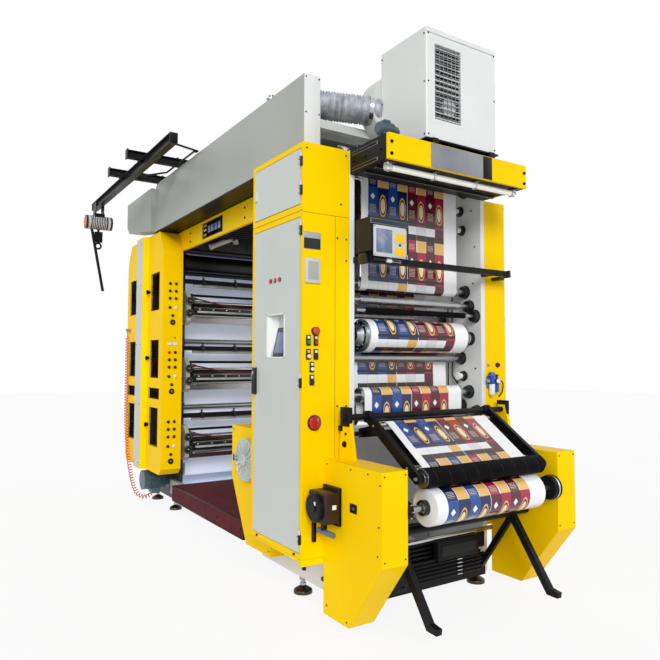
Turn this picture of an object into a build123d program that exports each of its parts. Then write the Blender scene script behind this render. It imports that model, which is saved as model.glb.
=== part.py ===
from build123d import *
import math
import os

# Six-colour stack flexographic printing press, in millimetres.
# +Z is up, +Y runs from the rewinder at the front to the print tower at the back,
# and +X runs from the operator's side to the drive side.
# Everything is drawn about the web's centre line (x = 0) and the rewind tower's
# front edge (y = 0), then moved so that the origin is under the middle of the press.

# Rewind tower
inner_half = 590.0            # half the clear width between the side plates
plate_thickness = 40.0
tower_depth = 715.0
tower_top = 3075.0
frame_bottom = 112.0          # underside of the steel frame above the floor
foot_radius = 66.0
foot_disc_height = 22.0
foot_stem_radius = 16.0
foot_nut_radius = 30.0
foot_nut_height = 18.0
tower_foot_inset = 100.0
beam_section = 70.0
back_beam_shares = (0.41, 0.81)  # of the tower's height
plate_tail = 0.75             # share of the unwinder's reach that the side plates run back
plate_step = 60.0             # of the side plates above and below the unwinder's top
column_chamfer = 12.0

# Print tower
print_half = 500.0            # half the clear width between the print side plates
print_plate_thickness = 45.0
print_middle = 3928.0         # y of the plane between front and rear stacks
print_frame_half_depth = 470.0
print_foot_offset = 323.0
link_lug = 80.0
access_hole = 130.0
deck_first = 776.0            # z of the lowest print deck
deck_pitch = 745.0
deck_count = 3

# Yellow side covers of the print tower
cover_outer = 826.0
cover_bottom = 455.0
cover_top = 3092.0
cover_reach = 689.0           # from the middle plane to the cover's end face
cover_gap = 168.0             # from the middle plane to the cover's inner edge
cover_bevel_depth = 150.0
cover_bevel_height = 220.0
cover_foot_bevel = 60.0
window_recess = 14.0
window_width = 270.0
window_height = 400.0
window_offset = 420.0         # from the middle plane to a window's centre
window_lift = 174.0            # of a window's centre above its deck's centre
pane_thickness = 8.0
small_window_height = 100.0
small_window_width = 340.0
small_window_z = 1315.0
post_outer = 882.0            # grey post between the covers
post_half = 120.0
post_panel_stand, post_panel_inset, post_panel_end = 4.0, 12.0, 20.0

# Link beams, bridge and dryer
link_outer = 606.0
link_thickness = 30.0
link_bottom = 2885.0
link_top = 3100.0
link_setback = 326.0
link_slant = 95.0
screen_start = 2172.0
screen_length = 500.0
screen_height = 150.0
screen_recess = 8.0
panel_outer = 826.0
panel_thickness = 132.0
panel_front = 266.0
panel_back = print_middle - 383.0
panel_bottom = 3118.0
panel_top = 3655.0
panel_corner = 35.0
tail_length = 955.0
tail_drop = 330.0
tail_inset = 50.0
tail_corner = 90.0
chamber_setback = 250.0       # of the drying chamber behind the plenums' front ends
chamber_drop = 180.0
chamber_lift = 70.0           # of the chamber above the web
front_beam_low, front_beam_high = 182.0, 242.0
front_beam_depth = 60.0
rail_width = 60.0
shelf_thickness = 12.0
bridge_roller_radius = 38.0
bridge_roller_count = 6

# Platform
platform_front = 1450.0
platform_back = print_middle - 708.0
platform_half = 700.0
platform_top = 345.0
platform_plate = 8.0
platform_skirt = 160.0
base_rail_overlap = 120.0     # of the base rails past the rewind tower's back edge

# Electrical cabinet
cabinet_outer = 986.0
cabinet_inner = 634.0
cabinet_bottom = 448.0
cabinet_top = 3069.0
cabinet_wall = 14.0
door_front = 34.0
door_back = 677.0
lower_door_bottom = 486.0
lower_door_top = 2584.0
upper_door_bottom = 2673.0
upper_door_top = 3029.0
door_gap = 5.0
door_thickness = 18.0
door_stand = 2.0              # how far the leaves stand proud of the cabinet
hinge_radius = 6.0
hinge_length = 60.0
hinge_strap = 3.0
hinge_inset = 85.0            # of the end hinges from a door's ends
pocket_front, pocket_back = 238.0, 475.0
pocket_bottom, pocket_top = 1700.0, 1980.0
pocket_depth = 62.0
pocket_wall = 4.0
console_height = 205.0        # the sloping screen in the pocket
console_foot = 12.0
handle_y, handle_bottom, handle_top = 645.0, 1440.0, 1625.0
handle_width, handle_stand = 28.0, 26.0
latch_y, latch_bottom, latch_top = 650.0, 2812.0, 2890.0
latch_width, latch_stand = 26.0, 14.0
lamp_height, lamp_lens, lamp_length = 2216.0, 11.0, 9.0
lamp_ys = (299.0, 363.0, 427.0)

# Controls on the cabinet's front, measured in from its outer corner
stop_inset, stop_height = 86.0, 1862.0
stop_radius, stop_length = 26.0, 30.0
button_radius, button_length = 15.0, 12.0
pair_insets = (42.0, 97.0)
pair_heights = (1791.0, 1703.0)
single_inset = 68.0
single_heights = (1623.0, 1541.0)
isolator_inset, isolator_height = 88.0, 1285.0
isolator_radius, isolator_length = 42.0, 14.0
isolator_grip, isolator_grip_length = 16.0, 40.0
touch_inset, touch_width = 17.0, 101.0
touch_bottom, touch_top = 2169.0, 2320.0
touch_thickness = 12.0

# Controls on the print tower's front covers, measured down from a window's centre
control_rows = (-70.0, 10.0, 90.0, 190.0)
control_spread = 33.0
control_radius = 13.0
lone_control_drop, ring_drop = 277.0, 350.0
ring_radius, ring_length = 26.0, 10.0

# Winder and unwinder
box_inner = 640.0
box_outer = 825.0
drive_box_inner = 680.0
drive_box_outer = 865.0
winder_reach = 600.0
winder_bottom = 100.0
winder_top = 1055.0
winder_toe = 277.0
winder_heel = 526.0
unwinder_reach = 687.0
unwinder_bottom = 255.0
unwinder_top = 1152.0
unwinder_toe = 411.0
unwinder_heel = 742.0
web_half = 450.0
roll_y = -555.0
roll_z = 815.0
roll_radius = 112.0
core_radius = 44.0
core_stand = 30.0             # of the core beyond the film's edges
shaft_radius = 20.0
chuck_radius = 52.0
chuck_depth = 40.0
unwind_y = 1072.0
unwind_z = 911.0
unwind_radius = 210.0
brake_radius = 162.0
brake_fins = 16
brake_stand, brake_stand_radius, brake_width = 14.0, 60.0, 30.0
brake_hub_depth, brake_hub_radius = 16.0, 45.0
fin_depth, fin_thickness, fin_length, fin_middle = 12.0, 8.0, 110.0, 95.0
running_gap = 0.3
nip_gap = 0.6                 # between the web and the two rolls that it passes between

# Press arms and their rubber roller
arm_pivot_y = -90.0
arm_pivot_z = 1315.0
arm_bar_radius = 20.0
arm_half = 560.0
arm_width = 30.0
arm_depth = 60.0
rubber_radius = 60.0
rubber_forward = 21.0         # of the winding roll's axis
rubber_half = 510.0
bracket_half = 700.0
bracket_foot = (-190.0, -20.0)  # y of the bar brackets' rear and front edges at their foot
bracket_head = (-125.0, -55.0)
bracket_rise, bracket_thickness = 35.0, 24.0
pivot_boss = 8.0

# Roll unloading forks
fork_y = -330.0
fork_z = 620.0
fork_tip_y = -645.0
fork_tip_z = 180.0
fork_half = 500.0
fork_width = 40.0
fork_depth = 46.0
fork_tube_radius, fork_boss_radius, fork_pin_radius = 28.0, 34.0, 24.0
fork_hook, fork_nose, fork_lip = 45.0, 70.0, 20.0
strut_foot_y, strut_foot_z = -20.0, 180.0
strut_width, strut_half, strut_overrun = 30.0, 20.0, 60.0

# Rewind tower rollers: y, z, radius
top_roller = (165.0, 3010.0, 45.0)
bridge_exit = (420.0, 3218.0, 45.0)
bridge_entry = (print_middle - 448.0, 3218.0, 45.0)
turn_roller = (165.0, 2215.0, 45.0)
back_upper = (430.0, 2270.0, 35.0)
back_lower = (430.0, 2010.0, 35.0)
main_y, main_z, main_radius = 115.0, 1850.0, 113.0
drop_roller = (211.0, 1700.0, 35.0)
dip_roller = (208.0, 1330.0, 30.0)
tension_roller = (128.0, 1440.0, 50.0)
silver_roller = (120.0, 2098.0, 30.0)
black_roller = (60.0, 2020.0, 20.0)
web_thickness = 3.0
hub_step, hub_cone = 20.0, 38.0

# Print deck, measured from the deck's own centre
impression_radius = 90.0
impression_y = 308.0          # from the middle plane
plate_radius = 75.0
anilox_radius = 48.0
anilox_drop = 62.0
tray_top = 84.0               # below the deck's centre
tray_floor = 168.0
tray_half = 74.0
tray_wall = 6.0
tray_taper, tray_end = 0.7, 10.0
impression_journal, plate_journal, thin_journal = 30.0, 25.0, 14.0
bearer_step, bearer_inset, bearer_width = 6.0, 12.0, 28.0
casting_reach, casting_half = 77.0, 190.0
casting_toe, casting_toe_drop = 40.0, 150.0
casting_brow, casting_brow_lift = 70.0, 110.0
wheel_lifts = (70.0, -66.0)
wheel_stem, wheel_stem_radius = 14.0, 12.0
wheel_width, wheel_radius = 20.0, 38.0
bar_half, bar_lift, bar_height = 25.0, 270.0, 48.0
rod_radius = 14.0
low_rod_shift, low_rod_lift, high_rod_lift = 45.0, 60.0, 140.0

roller_half = 470.0
journal_radius = 20.0
bearing_depth = 34.0
bearing_wall = 22.0
pair_roller_radius = 30.0
climb_offset = 40.0           # how far the rollers between decks push the web inwards
tie_radius = 30.0
tie_spread = 110.0
bridge_level = bridge_exit[1] + bridge_exit[2]
floor_run = 245.0             # height of the web below the platform
under_bar = (48.0, 1290.0, 28.0)
table_back = (-150.0, 1262.0, 20.0)
table_front = (-492.0, 1022.0, 22.0)
table_lap, table_sheet = 40.0, 6.0
cheek_thickness, cheek_front, cheek_foot, cheek_brow = 12.0, 14.0, 24.0, 8.0
cheek_back, cheek_back_drop, cheek_back_foot, cheek_waist = 60.0, 40.0, 100.0, 70.0
table_tie_y, table_tie_radius = 30.0, 16.0
turn_radius, turn_clearance = 45.0, 48.0
turn_high, turn_low = 2720.0, 420.0
drum_overhang, drum_journal = 10.0, 30.0

# Hood, lamp and blower
hood_half = 625.0
hood_front = -390.0
hood_bottom = 2912.0
hood_panel_thickness = 22.0
hood_sheet = 8.0
lamp_radius = 19.0
lamp_gap, lamp_inset, lamp_cap = 8.0, 40.0, 15.0
tray_rib_inset, tray_rib_half = 60.0, 25.0
blower_left, blower_right = -278.0, 365.0
blower_front, blower_back = -369.0, 116.0
blower_bottom, blower_height = 3124.0, 739.0
blower_top = blower_bottom + blower_height
blower_seam, blower_corner = 6.0, 10.0

# Inspection rail and unit
rail_y = -105.0
rail_z = 2340.0
rail_section = 40.0
rail_left, rail_right = -600.0, 770.0
unit_width = 325.0
unit_depth = 150.0
unit_height = 240.0
shoe_height, shoe_inset, shoe_half, jaw_drop = 20.0, 30.0, 45.0, 50.0
unit_screen_right, unit_screen_stand = 90.0, 6.0
unit_screen_foot, unit_screen_head = 60.0, 30.0

# Vent, duct and scroll
vent_left, vent_right = -230.0, 55.0
vent_bottom = blower_bottom + blower_height * 0.15
vent_top = blower_top - blower_height * 0.1
vent_recess = 30.0
vent_frame = 25.0
vent_slat = 7.0
vent_slat_tilt = 35.0
vent_slat_count = 14
scroll_x = -100.0
scroll_z = blower_bottom + blower_height * 0.51
scroll_radius = blower_height * 0.348
scroll_outlet = 40.0          # how far the outlet stands above the volute
scroll_depth = 145.0
duct_radius = 100.0
duct_start_y, duct_start_z = 370.0, 3500.0
duct_end_x = scroll_x - scroll_radius * 0.82
duct_end_y = blower_back + scroll_depth * 0.55
duct_end_z = scroll_z - 25.0
duct_tuck = 60.0              # how far the hose runs into the plenum and the volute
duct_ring_count = 12
duct_ring_depth = 9.0

# Hoist
hoist_arm_bottom = 3655.0
hoist_arm_height = 80.0
hoist_arm_width = 60.0
hoist_arm_reach = 1350.0
hoist_arm_offsets = (1142.0, 441.0)  # of the two arms in front of the print tower's middle
hoist_arm_ys = (print_middle - hoist_arm_offsets[0], print_middle - hoist_arm_offsets[1])
hoist_cap, hoist_cap_lip = 10.0, 8.0
hoist_rail_inset = 150.0      # of the rail from the arms' ends
hoist_rail_x = -hoist_arm_reach + hoist_rail_inset
hoist_rail_fore, hoist_rail_aft = 2071.0, 925.0
hoist_rail_front = print_middle - hoist_rail_fore
hoist_rail_back = print_middle + hoist_rail_aft
hoist_rail_height = 90.0
hoist_rail_width = 70.0
hoist_flange = 10.0
hoist_behind = 701.0
hoist_y = print_middle + hoist_behind
hoist_drum_radius, hoist_drum_half = 82.0, 155.0
hoist_drum_drop = 202.0       # of the drum's axis below the rail's bottom flange
trolley_half, trolley_body = 70.0, 60.0
hook_block_half, hook_block_depth, hook_block_height = 45.0, 30.0, 128.0
hook_chain, hook_chain_lap = 14.0, 10.0
hook_radius, hook_wire, hook_drop = 34.0, 11.0, 45.0
hook_shank, hook_shank_top, hook_shank_foot = 12.0, 5.0, 20.0
trolley_wheel, trolley_wheel_shift = 20.0, 40.0
pendant_radius, pendant_lean, pendant_foot = 17.0, 160.0, 2530.0

# Foot board between the winder boxes
toe_bottom, toe_ledge, toe_shelf, toe_top = 95.0, 255.0, 300.0, 420.0
toe_rib_count, toe_rib = 4, 12.0
toe_board_depth, toe_ledge_depth, toe_sheet, toe_rib_depth = 20.0, 60.0, 12.0, 45.0

# Main motor, bolted to the print side plate
motor_offset, motor_z = 144.0, 330.0
motor_radius, motor_neck, motor_fin_count = 112.0, 80.0, 12
motor_fin_pitch, motor_fin = 16.0, 9.0

# Winder drive on the operator's side
drive_y, drive_z = -115.0, 790.0
drive_half, drive_start, drive_end = 90.0, 24.0, 120.0
drive_disc = 82.0
lever_foot = 640.0

# Small motor on the hood
hood_motor_x, hood_motor_y, hood_motor_radius = -586.0, -330.0, 38.0
hood_motor_length, hood_motor_cap = 96.0, 12.0

# Hoses
air_hose_diameter = 50.0      # over the turns of the spiral hose
air_hose_offset = 13.0        # clear of the rear cover
air_hose_behind = 545.0       # of the print tower's middle
air_hose_elbow = (45.0, 117.0, 290.0)
air_hose_drop = ((0.0, 0.0, 2030.0), (0.0, 0.0, 1700.0), (2.0, 12.0, 1330.0), (-2.0, 0.0, 960.0),
                 (0.0, -60.0, 700.0), (-4.0, -150.0, 500.0), (0.0, -262.0, 330.0), (8.0, -365.0, 190.0),
                 (45.0, -440.0, 105.0), (120.0, -470.0, 86.0), (200.0, -452.0, 118.0))
air_hose_rise = 190.0         # height at which the hose turns up to its elbow
ink_hose_diameter = 16.0
ink_hose_run = ((-430.0, 55.0, 98.0), (-330.0, 72.0, 78.0), (-190.0, 84.0, 46.0), (-20.0, 85.0, 20.0),
                (150.0, 84.0, 9.0), (300.0, 76.0, 13.0), (410.0, 55.0, 26.0))
hose_nut = 12.0


def block(x0, x1, y0, y1, z0, z1):
    """A box between two corners."""
    return Pos((x0 + x1) / 2, (y0 + y1) / 2, (z0 + z1) / 2) * Box(x1 - x0, y1 - y0, z1 - z0)


def rod_x(x0, x1, y, z, radius):
    """A round bar along X."""
    return Pos((x0 + x1) / 2, y, z) * Rot(0, 90, 0) * Cylinder(radius, x1 - x0)


def rod_y(x, y0, y1, z, radius):
    """A round bar along Y."""
    return Pos(x, (y0 + y1) / 2, z) * Rot(90, 0, 0) * Cylinder(radius, y1 - y0)


def rod_z(x, y, z0, z1, radius):
    """A round bar along Z."""
    return Pos(x, y, (z0 + z1) / 2) * Cylinder(radius, z1 - z0)


def side_profile(points, x0, x1):
    """A side view outline, as (y, z) points, given a thickness from x0 to x1."""
    face = make_face(Polyline(*[(y, z) for y, z in points], close=True))
    return Pos(x0, 0, 0) * extrude(Plane.YZ * face, x1 - x0)


def both_sides(part):
    """The part and its mirror image across the web's centre line."""
    return Compound(children=[part, mirror(part, Plane.YZ)])


def group(parts):
    """Several solids as one sub-part."""
    return Compound(children=list(parts))


def flat(point):
    """A vector's two coordinates in the side view."""
    return point.X, point.Y


def ribbon(path, x0, x1, thickness):
    """A web threaded round rollers. Each stop is (y, z, radius, turn): turn is 1 where
    the roller lies on the left of the travel, -1 on the right; radius 0 is a free end."""
    runs = []
    for (ya, za, ra, ta), (yb, zb, rb, tb) in zip(path, path[1:]):
        along = Vector(yb - ya, zb - za)
        distance = along.length
        lean = math.asin((ta * ra - tb * rb) / distance)
        angle = math.atan2(along.Y, along.X) + lean
        right = Vector(math.sin(angle), -math.cos(angle))
        runs.append((Vector(ya, za) + right * (ta * ra), Vector(yb, zb) + right * (tb * rb), right))
    edges = []
    for side in (1, -1):
        for i, (start, end, right) in enumerate(runs):
            shift = right * (side * thickness / 2)
            edges.append(Line(flat(start + shift), flat(end + shift)))
            if i + 1 < len(runs):
                y, z, radius, turn = path[i + 1]
                centre = Vector(y, z)
                mid = (right + runs[i + 1][2]).normalized()
                reach = turn * radius + side * thickness / 2
                if turn * right.cross(runs[i + 1][2]).Z < 0:
                    mid = mid * -1
                corners = (centre + right * reach, centre + mid * reach, centre + runs[i + 1][2] * reach)
                edges.append(ThreePointArc(*[flat(c) for c in corners]))
    for start, end, right in (runs[0], runs[-1]):
        point = start if right is runs[0][2] else end
        shift = right * (thickness / 2)
        edges.append(Line(flat(point + shift), flat(point - shift)))
    face = make_face(edges)
    return Pos(x0, 0, 0) * extrude(Plane.YZ * face, x1 - x0)


def roller(y, z, radius, half_face, half_length, journal=journal_radius):
    """A roller along X with a thinner journal at each end."""
    return rod_x(-half_face, half_face, y, z, radius) + rod_x(-half_length, half_length, y, z, journal)


def tower_stops():
    """The rewind tower's guide rollers in the order in which the web meets them."""
    return [bridge_exit, top_roller, turn_roller, back_upper, back_lower,
            drop_roller, dip_roller, tension_roller, under_bar]


def rubber_centre():
    """The rubber roller's axis: it lies on the winding roll, a running gap away."""
    reach = roll_radius + web_thickness + rubber_radius + 2 * running_gap + nip_gap
    return roll_y - rubber_forward, roll_z + math.sqrt(reach ** 2 - rubber_forward ** 2)


def deck_heights():
    """The height of each print deck's centre."""
    return [deck_first + deck_pitch * level for level in range(deck_count)]


def deck_sides():
    """The two stacks: -1 faces the platform, 1 faces the back."""
    return (-1, 1)


def impression_axis(side):
    """How far back a stack's impression cylinders lie."""
    return print_middle + side * impression_y


def plate_axis(side):
    """The plate cylinders lie against the web on the impression cylinders."""
    gap = web_thickness / 2 + running_gap
    return impression_axis(side) + side * (impression_radius + gap * 2 + plate_radius)


def anilox_axis(side):
    """The anilox rollers lie against the plate cylinders, a little lower."""
    reach = plate_radius + running_gap + anilox_radius
    return plate_axis(side) + side * math.sqrt(reach ** 2 - anilox_drop ** 2)


def climb_axis(side):
    """The rollers between decks, which hold the web off its straight climb."""
    face = print_middle + side * (impression_y + impression_radius)
    return face + side * (pair_roller_radius - climb_offset)


def climb_heights():
    """The heights half way between the decks."""
    return [z + deck_pitch / 2 for z in deck_heights()[:-1]]


def plate_bearings(stops, face, inward):
    """Round bearing housings that stand off a side plate's inner face."""
    far = face - inward * bearing_depth
    x0, x1 = min(face, far), max(face, far)
    return [rod_x(x0, x1, y, z, journal_radius + bearing_wall) for y, z in stops]


def tower_side_plates():
    """Side plates with a low tail behind, and the bearing housings of the rollers."""
    tail = tower_depth + unwinder_reach * plate_tail
    outline = [(0, frame_bottom), (tail, frame_bottom), (tail, unwinder_top - plate_step),
               (tower_depth, unwinder_top + plate_step), (tower_depth, tower_top), (0, tower_top)]
    plate = side_profile(outline, inner_half, inner_half + plate_thickness)
    seats = [(y, z) for y, z, radius in tower_stops()[1:]] + [(main_y, main_z)]
    seats += [silver_roller[:2], black_roller[:2], (unwind_y, unwind_z)]
    for housing in plate_bearings(seats, inner_half, 1):
        plate = plate + housing
    return both_sides(plate)


def frame_cross_members():
    """The beams and round ties between the side plates of both towers."""
    half = inner_half
    parts = print_cross_ties()
    back = tower_depth - beam_section
    for y, z in ((0, frame_bottom), (back, frame_bottom), (0, tower_top - beam_section),
                 (back, tower_top - beam_section), (back, tower_top * back_beam_shares[0]),
                 (back, tower_top * back_beam_shares[1])):
        parts.append(block(-half, half, y, y + beam_section, z, z + beam_section))
    return group(parts)


def toe_board():
    """The black guard between the side plates, with the tread frame above it."""
    board = block(-inner_half, inner_half, -toe_board_depth, 0, toe_bottom, toe_ledge)
    board = board + block(-fork_half, fork_half, -toe_ledge_depth, 0, toe_ledge, toe_shelf)
    board = board + block(-inner_half, inner_half, -toe_sheet, 0, toe_shelf, toe_top)
    pitch = (toe_top - toe_shelf) / toe_rib_count
    for i in range(toe_rib_count):
        z = toe_shelf + pitch * (i + 0.5)
        board = board + block(-fork_half, fork_half, -toe_rib_depth, 0, z, z + toe_rib)
    return board


def levelling_feet():
    """Disc feet on threaded stems under both towers."""
    feet = []
    spots = [(inner_half + plate_thickness / 2, tower_foot_inset),
             (inner_half + plate_thickness / 2, tower_depth - tower_foot_inset),
             (print_half + print_plate_thickness / 2, print_middle - print_foot_offset),
             (print_half + print_plate_thickness / 2, print_middle + print_foot_offset)]
    for x, y in spots:
        for side in (-1, 1):
            disc = rod_z(side * x, y, 0, foot_disc_height, foot_radius)
            disc = chamfer(disc.edges().group_by(Axis.Z)[-1], foot_disc_height * 0.5)
            stem = rod_z(side * x, y, foot_disc_height, frame_bottom, foot_stem_radius)
            nut_z = frame_bottom - foot_nut_height
            nut = Pos(side * x, y, nut_z) * extrude(RegularPolygon(foot_nut_radius, 6), foot_nut_height)
            feet.append(disc + stem + nut)
    return group(feet)


def right_column_cover():
    """The yellow cover of the drive side column, opposite the cabinet."""
    cover = block(inner_half + plate_thickness, drive_box_outer, 0, tower_depth,
                  cabinet_bottom, hood_bottom)
    upright = cover.edges().filter_by(Axis.Z).sort_by(Axis.X)[-2:]
    return chamfer(upright, column_chamfer)


def hinge_axis():
    """The upright line that both cabinet doors turn about, as x and y."""
    return -cabinet_outer - hinge_radius - 1, door_front - door_gap - 2 * hinge_radius


def hinge_heights():
    """Where the hinges of the lower door and then of the upper door sit."""
    return (lower_door_bottom + hinge_inset, (lower_door_bottom + lower_door_top) / 2,
            lower_door_top - hinge_inset, upper_door_bottom + hinge_inset, upper_door_top - hinge_inset)


def cabinet_body():
    """A folded steel box with a doorway and hinge knuckles for each door."""
    box = block(-cabinet_outer, -inner_half - plate_thickness, 0, tower_depth, cabinet_bottom, cabinet_top)
    divider = (lower_door_top + upper_door_bottom) / 2
    for low, high in ((cabinet_bottom, divider), (divider, cabinet_top)):
        inside = block(-cabinet_outer + cabinet_wall, -cabinet_inner - cabinet_wall, cabinet_wall,
                       tower_depth - cabinet_wall, low + cabinet_wall, high - cabinet_wall)
        box = box - inside
    for low, high in ((lower_door_bottom, lower_door_top), (upper_door_bottom, upper_door_top)):
        doorway = block(-cabinet_outer, -cabinet_outer + cabinet_wall,
                        door_front - door_gap, door_back + door_gap, low - door_gap, high + door_gap)
        box = box - doorway
    x, y = hinge_axis()
    for z in hinge_heights():
        box = box + rod_z(x, y, z - hinge_length / 2, z + hinge_length / 2, hinge_radius)
        box = box + block(x, -cabinet_outer, y - hinge_strap, y + hinge_strap, z - hinge_length / 2,
                          z + hinge_length / 2)
    return box


def cabinet_door(low, high):
    """A door leaf that closes its doorway."""
    face = -cabinet_outer - door_stand
    leaf = block(face, face + door_thickness, door_front, door_back, low, high)
    x, y = hinge_axis()
    for z in hinge_heights():
        if low < z < high:
            z0 = z + hinge_length / 2 + running_gap
            leaf = leaf + rod_z(x, y, z0, z0 + hinge_length / 2, hinge_radius)
            z1 = z0 + hinge_length / 2
            tab = door_front + 4 * hinge_strap
            leaf = leaf + block(x - hinge_strap, x + hinge_strap, y, tab, z0, z1)
            leaf = leaf + block(x - hinge_strap, -cabinet_outer, door_front, tab, z0, z1)
    return leaf


def pocket_pan():
    """The recess in the lower door, with the sloping screen at its foot."""
    front = -cabinet_outer - door_stand
    back = front + pocket_depth
    w = pocket_wall
    pan = block(front + w, back, pocket_front - w, pocket_back + w, pocket_bottom - w, pocket_top + w)
    pan = pan - block(front, back - w, pocket_front, pocket_back, pocket_bottom, pocket_top)
    points = [(front + console_foot, pocket_bottom), (back - w, pocket_bottom),
              (back - w, pocket_bottom + console_height)]
    slope = make_face(Polyline(*[(x, z) for x, z in points], close=True))
    console = Pos(0, pocket_back, 0) * extrude(Plane.XZ * slope, pocket_back - pocket_front)
    return pan + console


def lower_door():
    """The tall leaf with its screen pocket, handle and indicator lamps."""
    leaf = cabinet_door(lower_door_bottom, lower_door_top)
    face = -cabinet_outer - door_stand
    leaf = leaf - block(face, face + door_thickness, pocket_front, pocket_back, pocket_bottom, pocket_top)
    half = handle_width / 2
    handle = block(face - handle_stand, face, handle_y - half, handle_y + half, handle_bottom, handle_top)
    return leaf + pocket_pan() + handle


def upper_door():
    """The short leaf with its latch."""
    leaf = cabinet_door(upper_door_bottom, upper_door_top)
    face = -cabinet_outer - door_stand
    half = latch_width / 2
    return leaf + block(face - latch_stand, face, latch_y - half, latch_y + half, latch_bottom, latch_top)


def door_lamps():
    """Three indicator lamps on the lower door."""
    face = -cabinet_outer - door_stand
    return group(rod_x(face - lamp_length, face, y, lamp_height, lamp_lens) for y in lamp_ys)


def front_face_button(x, z, radius, depth, y=0.0):
    """A round control that stands off a face that looks to the front."""
    return Pos(x, y, z) * Rot(90, 0, 0) * extrude(Circle(radius), depth)


def push_buttons():
    """Emergency stop, buttons, isolator and touch panel, with the buttons of the print decks."""
    corner = -cabinet_outer
    parts = [front_face_button(corner + stop_inset, stop_height, stop_radius, stop_length)]
    spots = [(inset, z) for z in pair_heights for inset in pair_insets]
    spots += [(single_inset, z) for z in single_heights]
    for inset, z in spots:
        parts.append(front_face_button(corner + inset, z, button_radius, button_length))
    x, z = corner + isolator_inset, isolator_height
    dial = front_face_button(x, z, isolator_radius, isolator_length)
    half = isolator_grip / 2
    parts.append(dial + block(x - half, x + half, -isolator_grip_length, -isolator_length,
                              z - 2 * isolator_grip, z + 2 * isolator_grip))
    x = corner + touch_inset
    parts.append(block(x, x + touch_width, -touch_thickness, 0, touch_bottom, touch_top))
    return group(parts + deck_controls())


def hood_frame():
    """The black tray that carries the lamp and the blower."""
    floor = block(-hood_half, hood_half, hood_front, 0, hood_bottom, hood_bottom + hood_sheet)
    lid = block(-hood_half, hood_half, hood_front, 0, tower_top - hood_sheet, tower_top)
    tray = floor + lid
    for side in (-1, 1):
        x0, x1 = sorted((side * hood_half, side * (hood_half - hood_sheet)))
        tray = tray + block(x0, x1, hood_front, 0, hood_bottom, tower_top)
    for x in (blower_left + tray_rib_inset, blower_right - tray_rib_inset):
        tray = tray + block(x - tray_rib_half, x + tray_rib_half, hood_front, 0, tower_top, blower_bottom)
        tray = tray + block(x - tray_rib_half, x + tray_rib_half, hood_front, 0, hood_bottom, tower_top)
    return tray


def hood_front_panel():
    """The yellow board across the front of the hood."""
    return block(-hood_half, hood_half, hood_front - hood_panel_thickness, hood_front,
                 hood_bottom - running_gap, tower_top)


def hood_lamp():
    """A tube lamp on two end caps under the hood's front edge."""
    y = hood_front + 3 * lamp_radius
    z = hood_bottom - lamp_radius - lamp_gap
    end = hood_half - lamp_inset
    tube = rod_x(-end, end, y, z, lamp_radius)
    for x in (-end, end - lamp_cap):
        tube = tube + block(x, x + lamp_cap, y - lamp_radius, y + lamp_radius, z - lamp_radius, hood_bottom)
    return tube


def blower_housing():
    """The fan's box on the hood, with an opening for its grille and a lid line."""
    box = block(blower_left, blower_right, blower_front, blower_back, blower_bottom, blower_top)
    box = fillet(box.edges().filter_by(Axis.Z), blower_corner)
    vent = block(vent_left, vent_right, blower_front, blower_front + vent_recess, vent_bottom, vent_top)
    seam = vent_top + (blower_top - vent_top) / 2
    shadow_line = block(blower_left, blower_right, blower_front, blower_front + blower_seam,
                        seam, seam + blower_seam)
    return box - vent - shadow_line


def vent_grille():
    """A louvred grille let into the blower box's front."""
    x0, x1 = vent_left, vent_right
    y0, y1 = blower_front, blower_front + vent_recess
    frame = block(x0, x1, y0, y1, vent_bottom, vent_top)
    frame = frame - block(x0 + vent_frame, x1 - vent_frame, y0, y1,
                          vent_bottom + vent_frame, vent_top - vent_frame)
    pitch = (vent_top - vent_bottom - 2 * vent_frame) / vent_slat_count
    for i in range(vent_slat_count):
        z = vent_bottom + vent_frame + pitch * (i + 0.5)
        slat = Pos((x0 + x1) / 2, (y0 + y1) / 2, z) * Rot(vent_slat_tilt, 0, 0)
        frame = frame + slat * Box(x1 - x0 - 2 * vent_frame + 2, vent_recess * 0.8, vent_slat)
    return frame


def blower_scroll():
    """The fan's volute behind the housing, with its outlet to the duct side."""
    body = rod_y(scroll_x, blower_back, blower_back + scroll_depth, scroll_z, scroll_radius)
    outlet = block(scroll_x, scroll_x + scroll_radius, blower_back, blower_back + scroll_depth,
                   scroll_z, scroll_z + scroll_radius + scroll_outlet)
    return body + outlet


def flexible_duct():
    """A corrugated hose that slants from the left plenum to the fan."""
    start = Vector(-panel_outer + panel_thickness, duct_start_y, duct_start_z)
    end = Vector(duct_end_x, duct_end_y, duct_end_z)
    length = (end - start).length + 2 * duct_tuck
    pitch = length / duct_ring_count
    points = [(0, 0)]
    for i in range(duct_ring_count):
        points.append((duct_radius - duct_ring_depth, pitch * i))
        points.append((duct_radius, pitch * (i + 0.5)))
    points += [(duct_radius - duct_ring_depth, length), (0, length)]
    profile = Plane.XZ * make_face(Polyline(*points, close=True))
    along = end - start
    hose = Plane(origin=start - along.normalized() * duct_tuck, z_dir=along) * revolve(profile, Axis.Z)
    plenum = block(-panel_outer, -panel_outer + panel_thickness, 0, panel_back, panel_bottom, panel_top)
    return hose - plenum - blower_scroll()


def dryer_side_panels():
    """The long grey plenums with their stepped-down tails."""
    outline = [(panel_front, panel_bottom), (panel_back, panel_bottom),
               (panel_back, panel_top - panel_corner), (panel_back - panel_corner, panel_top),
               (panel_front, panel_top)]
    plenum = side_profile(outline, panel_outer - panel_thickness, panel_outer)
    back = panel_back + tail_length
    tail = [(panel_back, panel_bottom), (back - tail_corner, panel_top - tail_drop - tail_corner),
            (back, panel_top - tail_drop), (back, panel_top - tail_inset),
            (panel_back, panel_top - tail_inset)]
    tail_part = side_profile(tail, panel_outer - panel_thickness, post_outer)
    return both_sides(plenum + tail_part)


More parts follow.
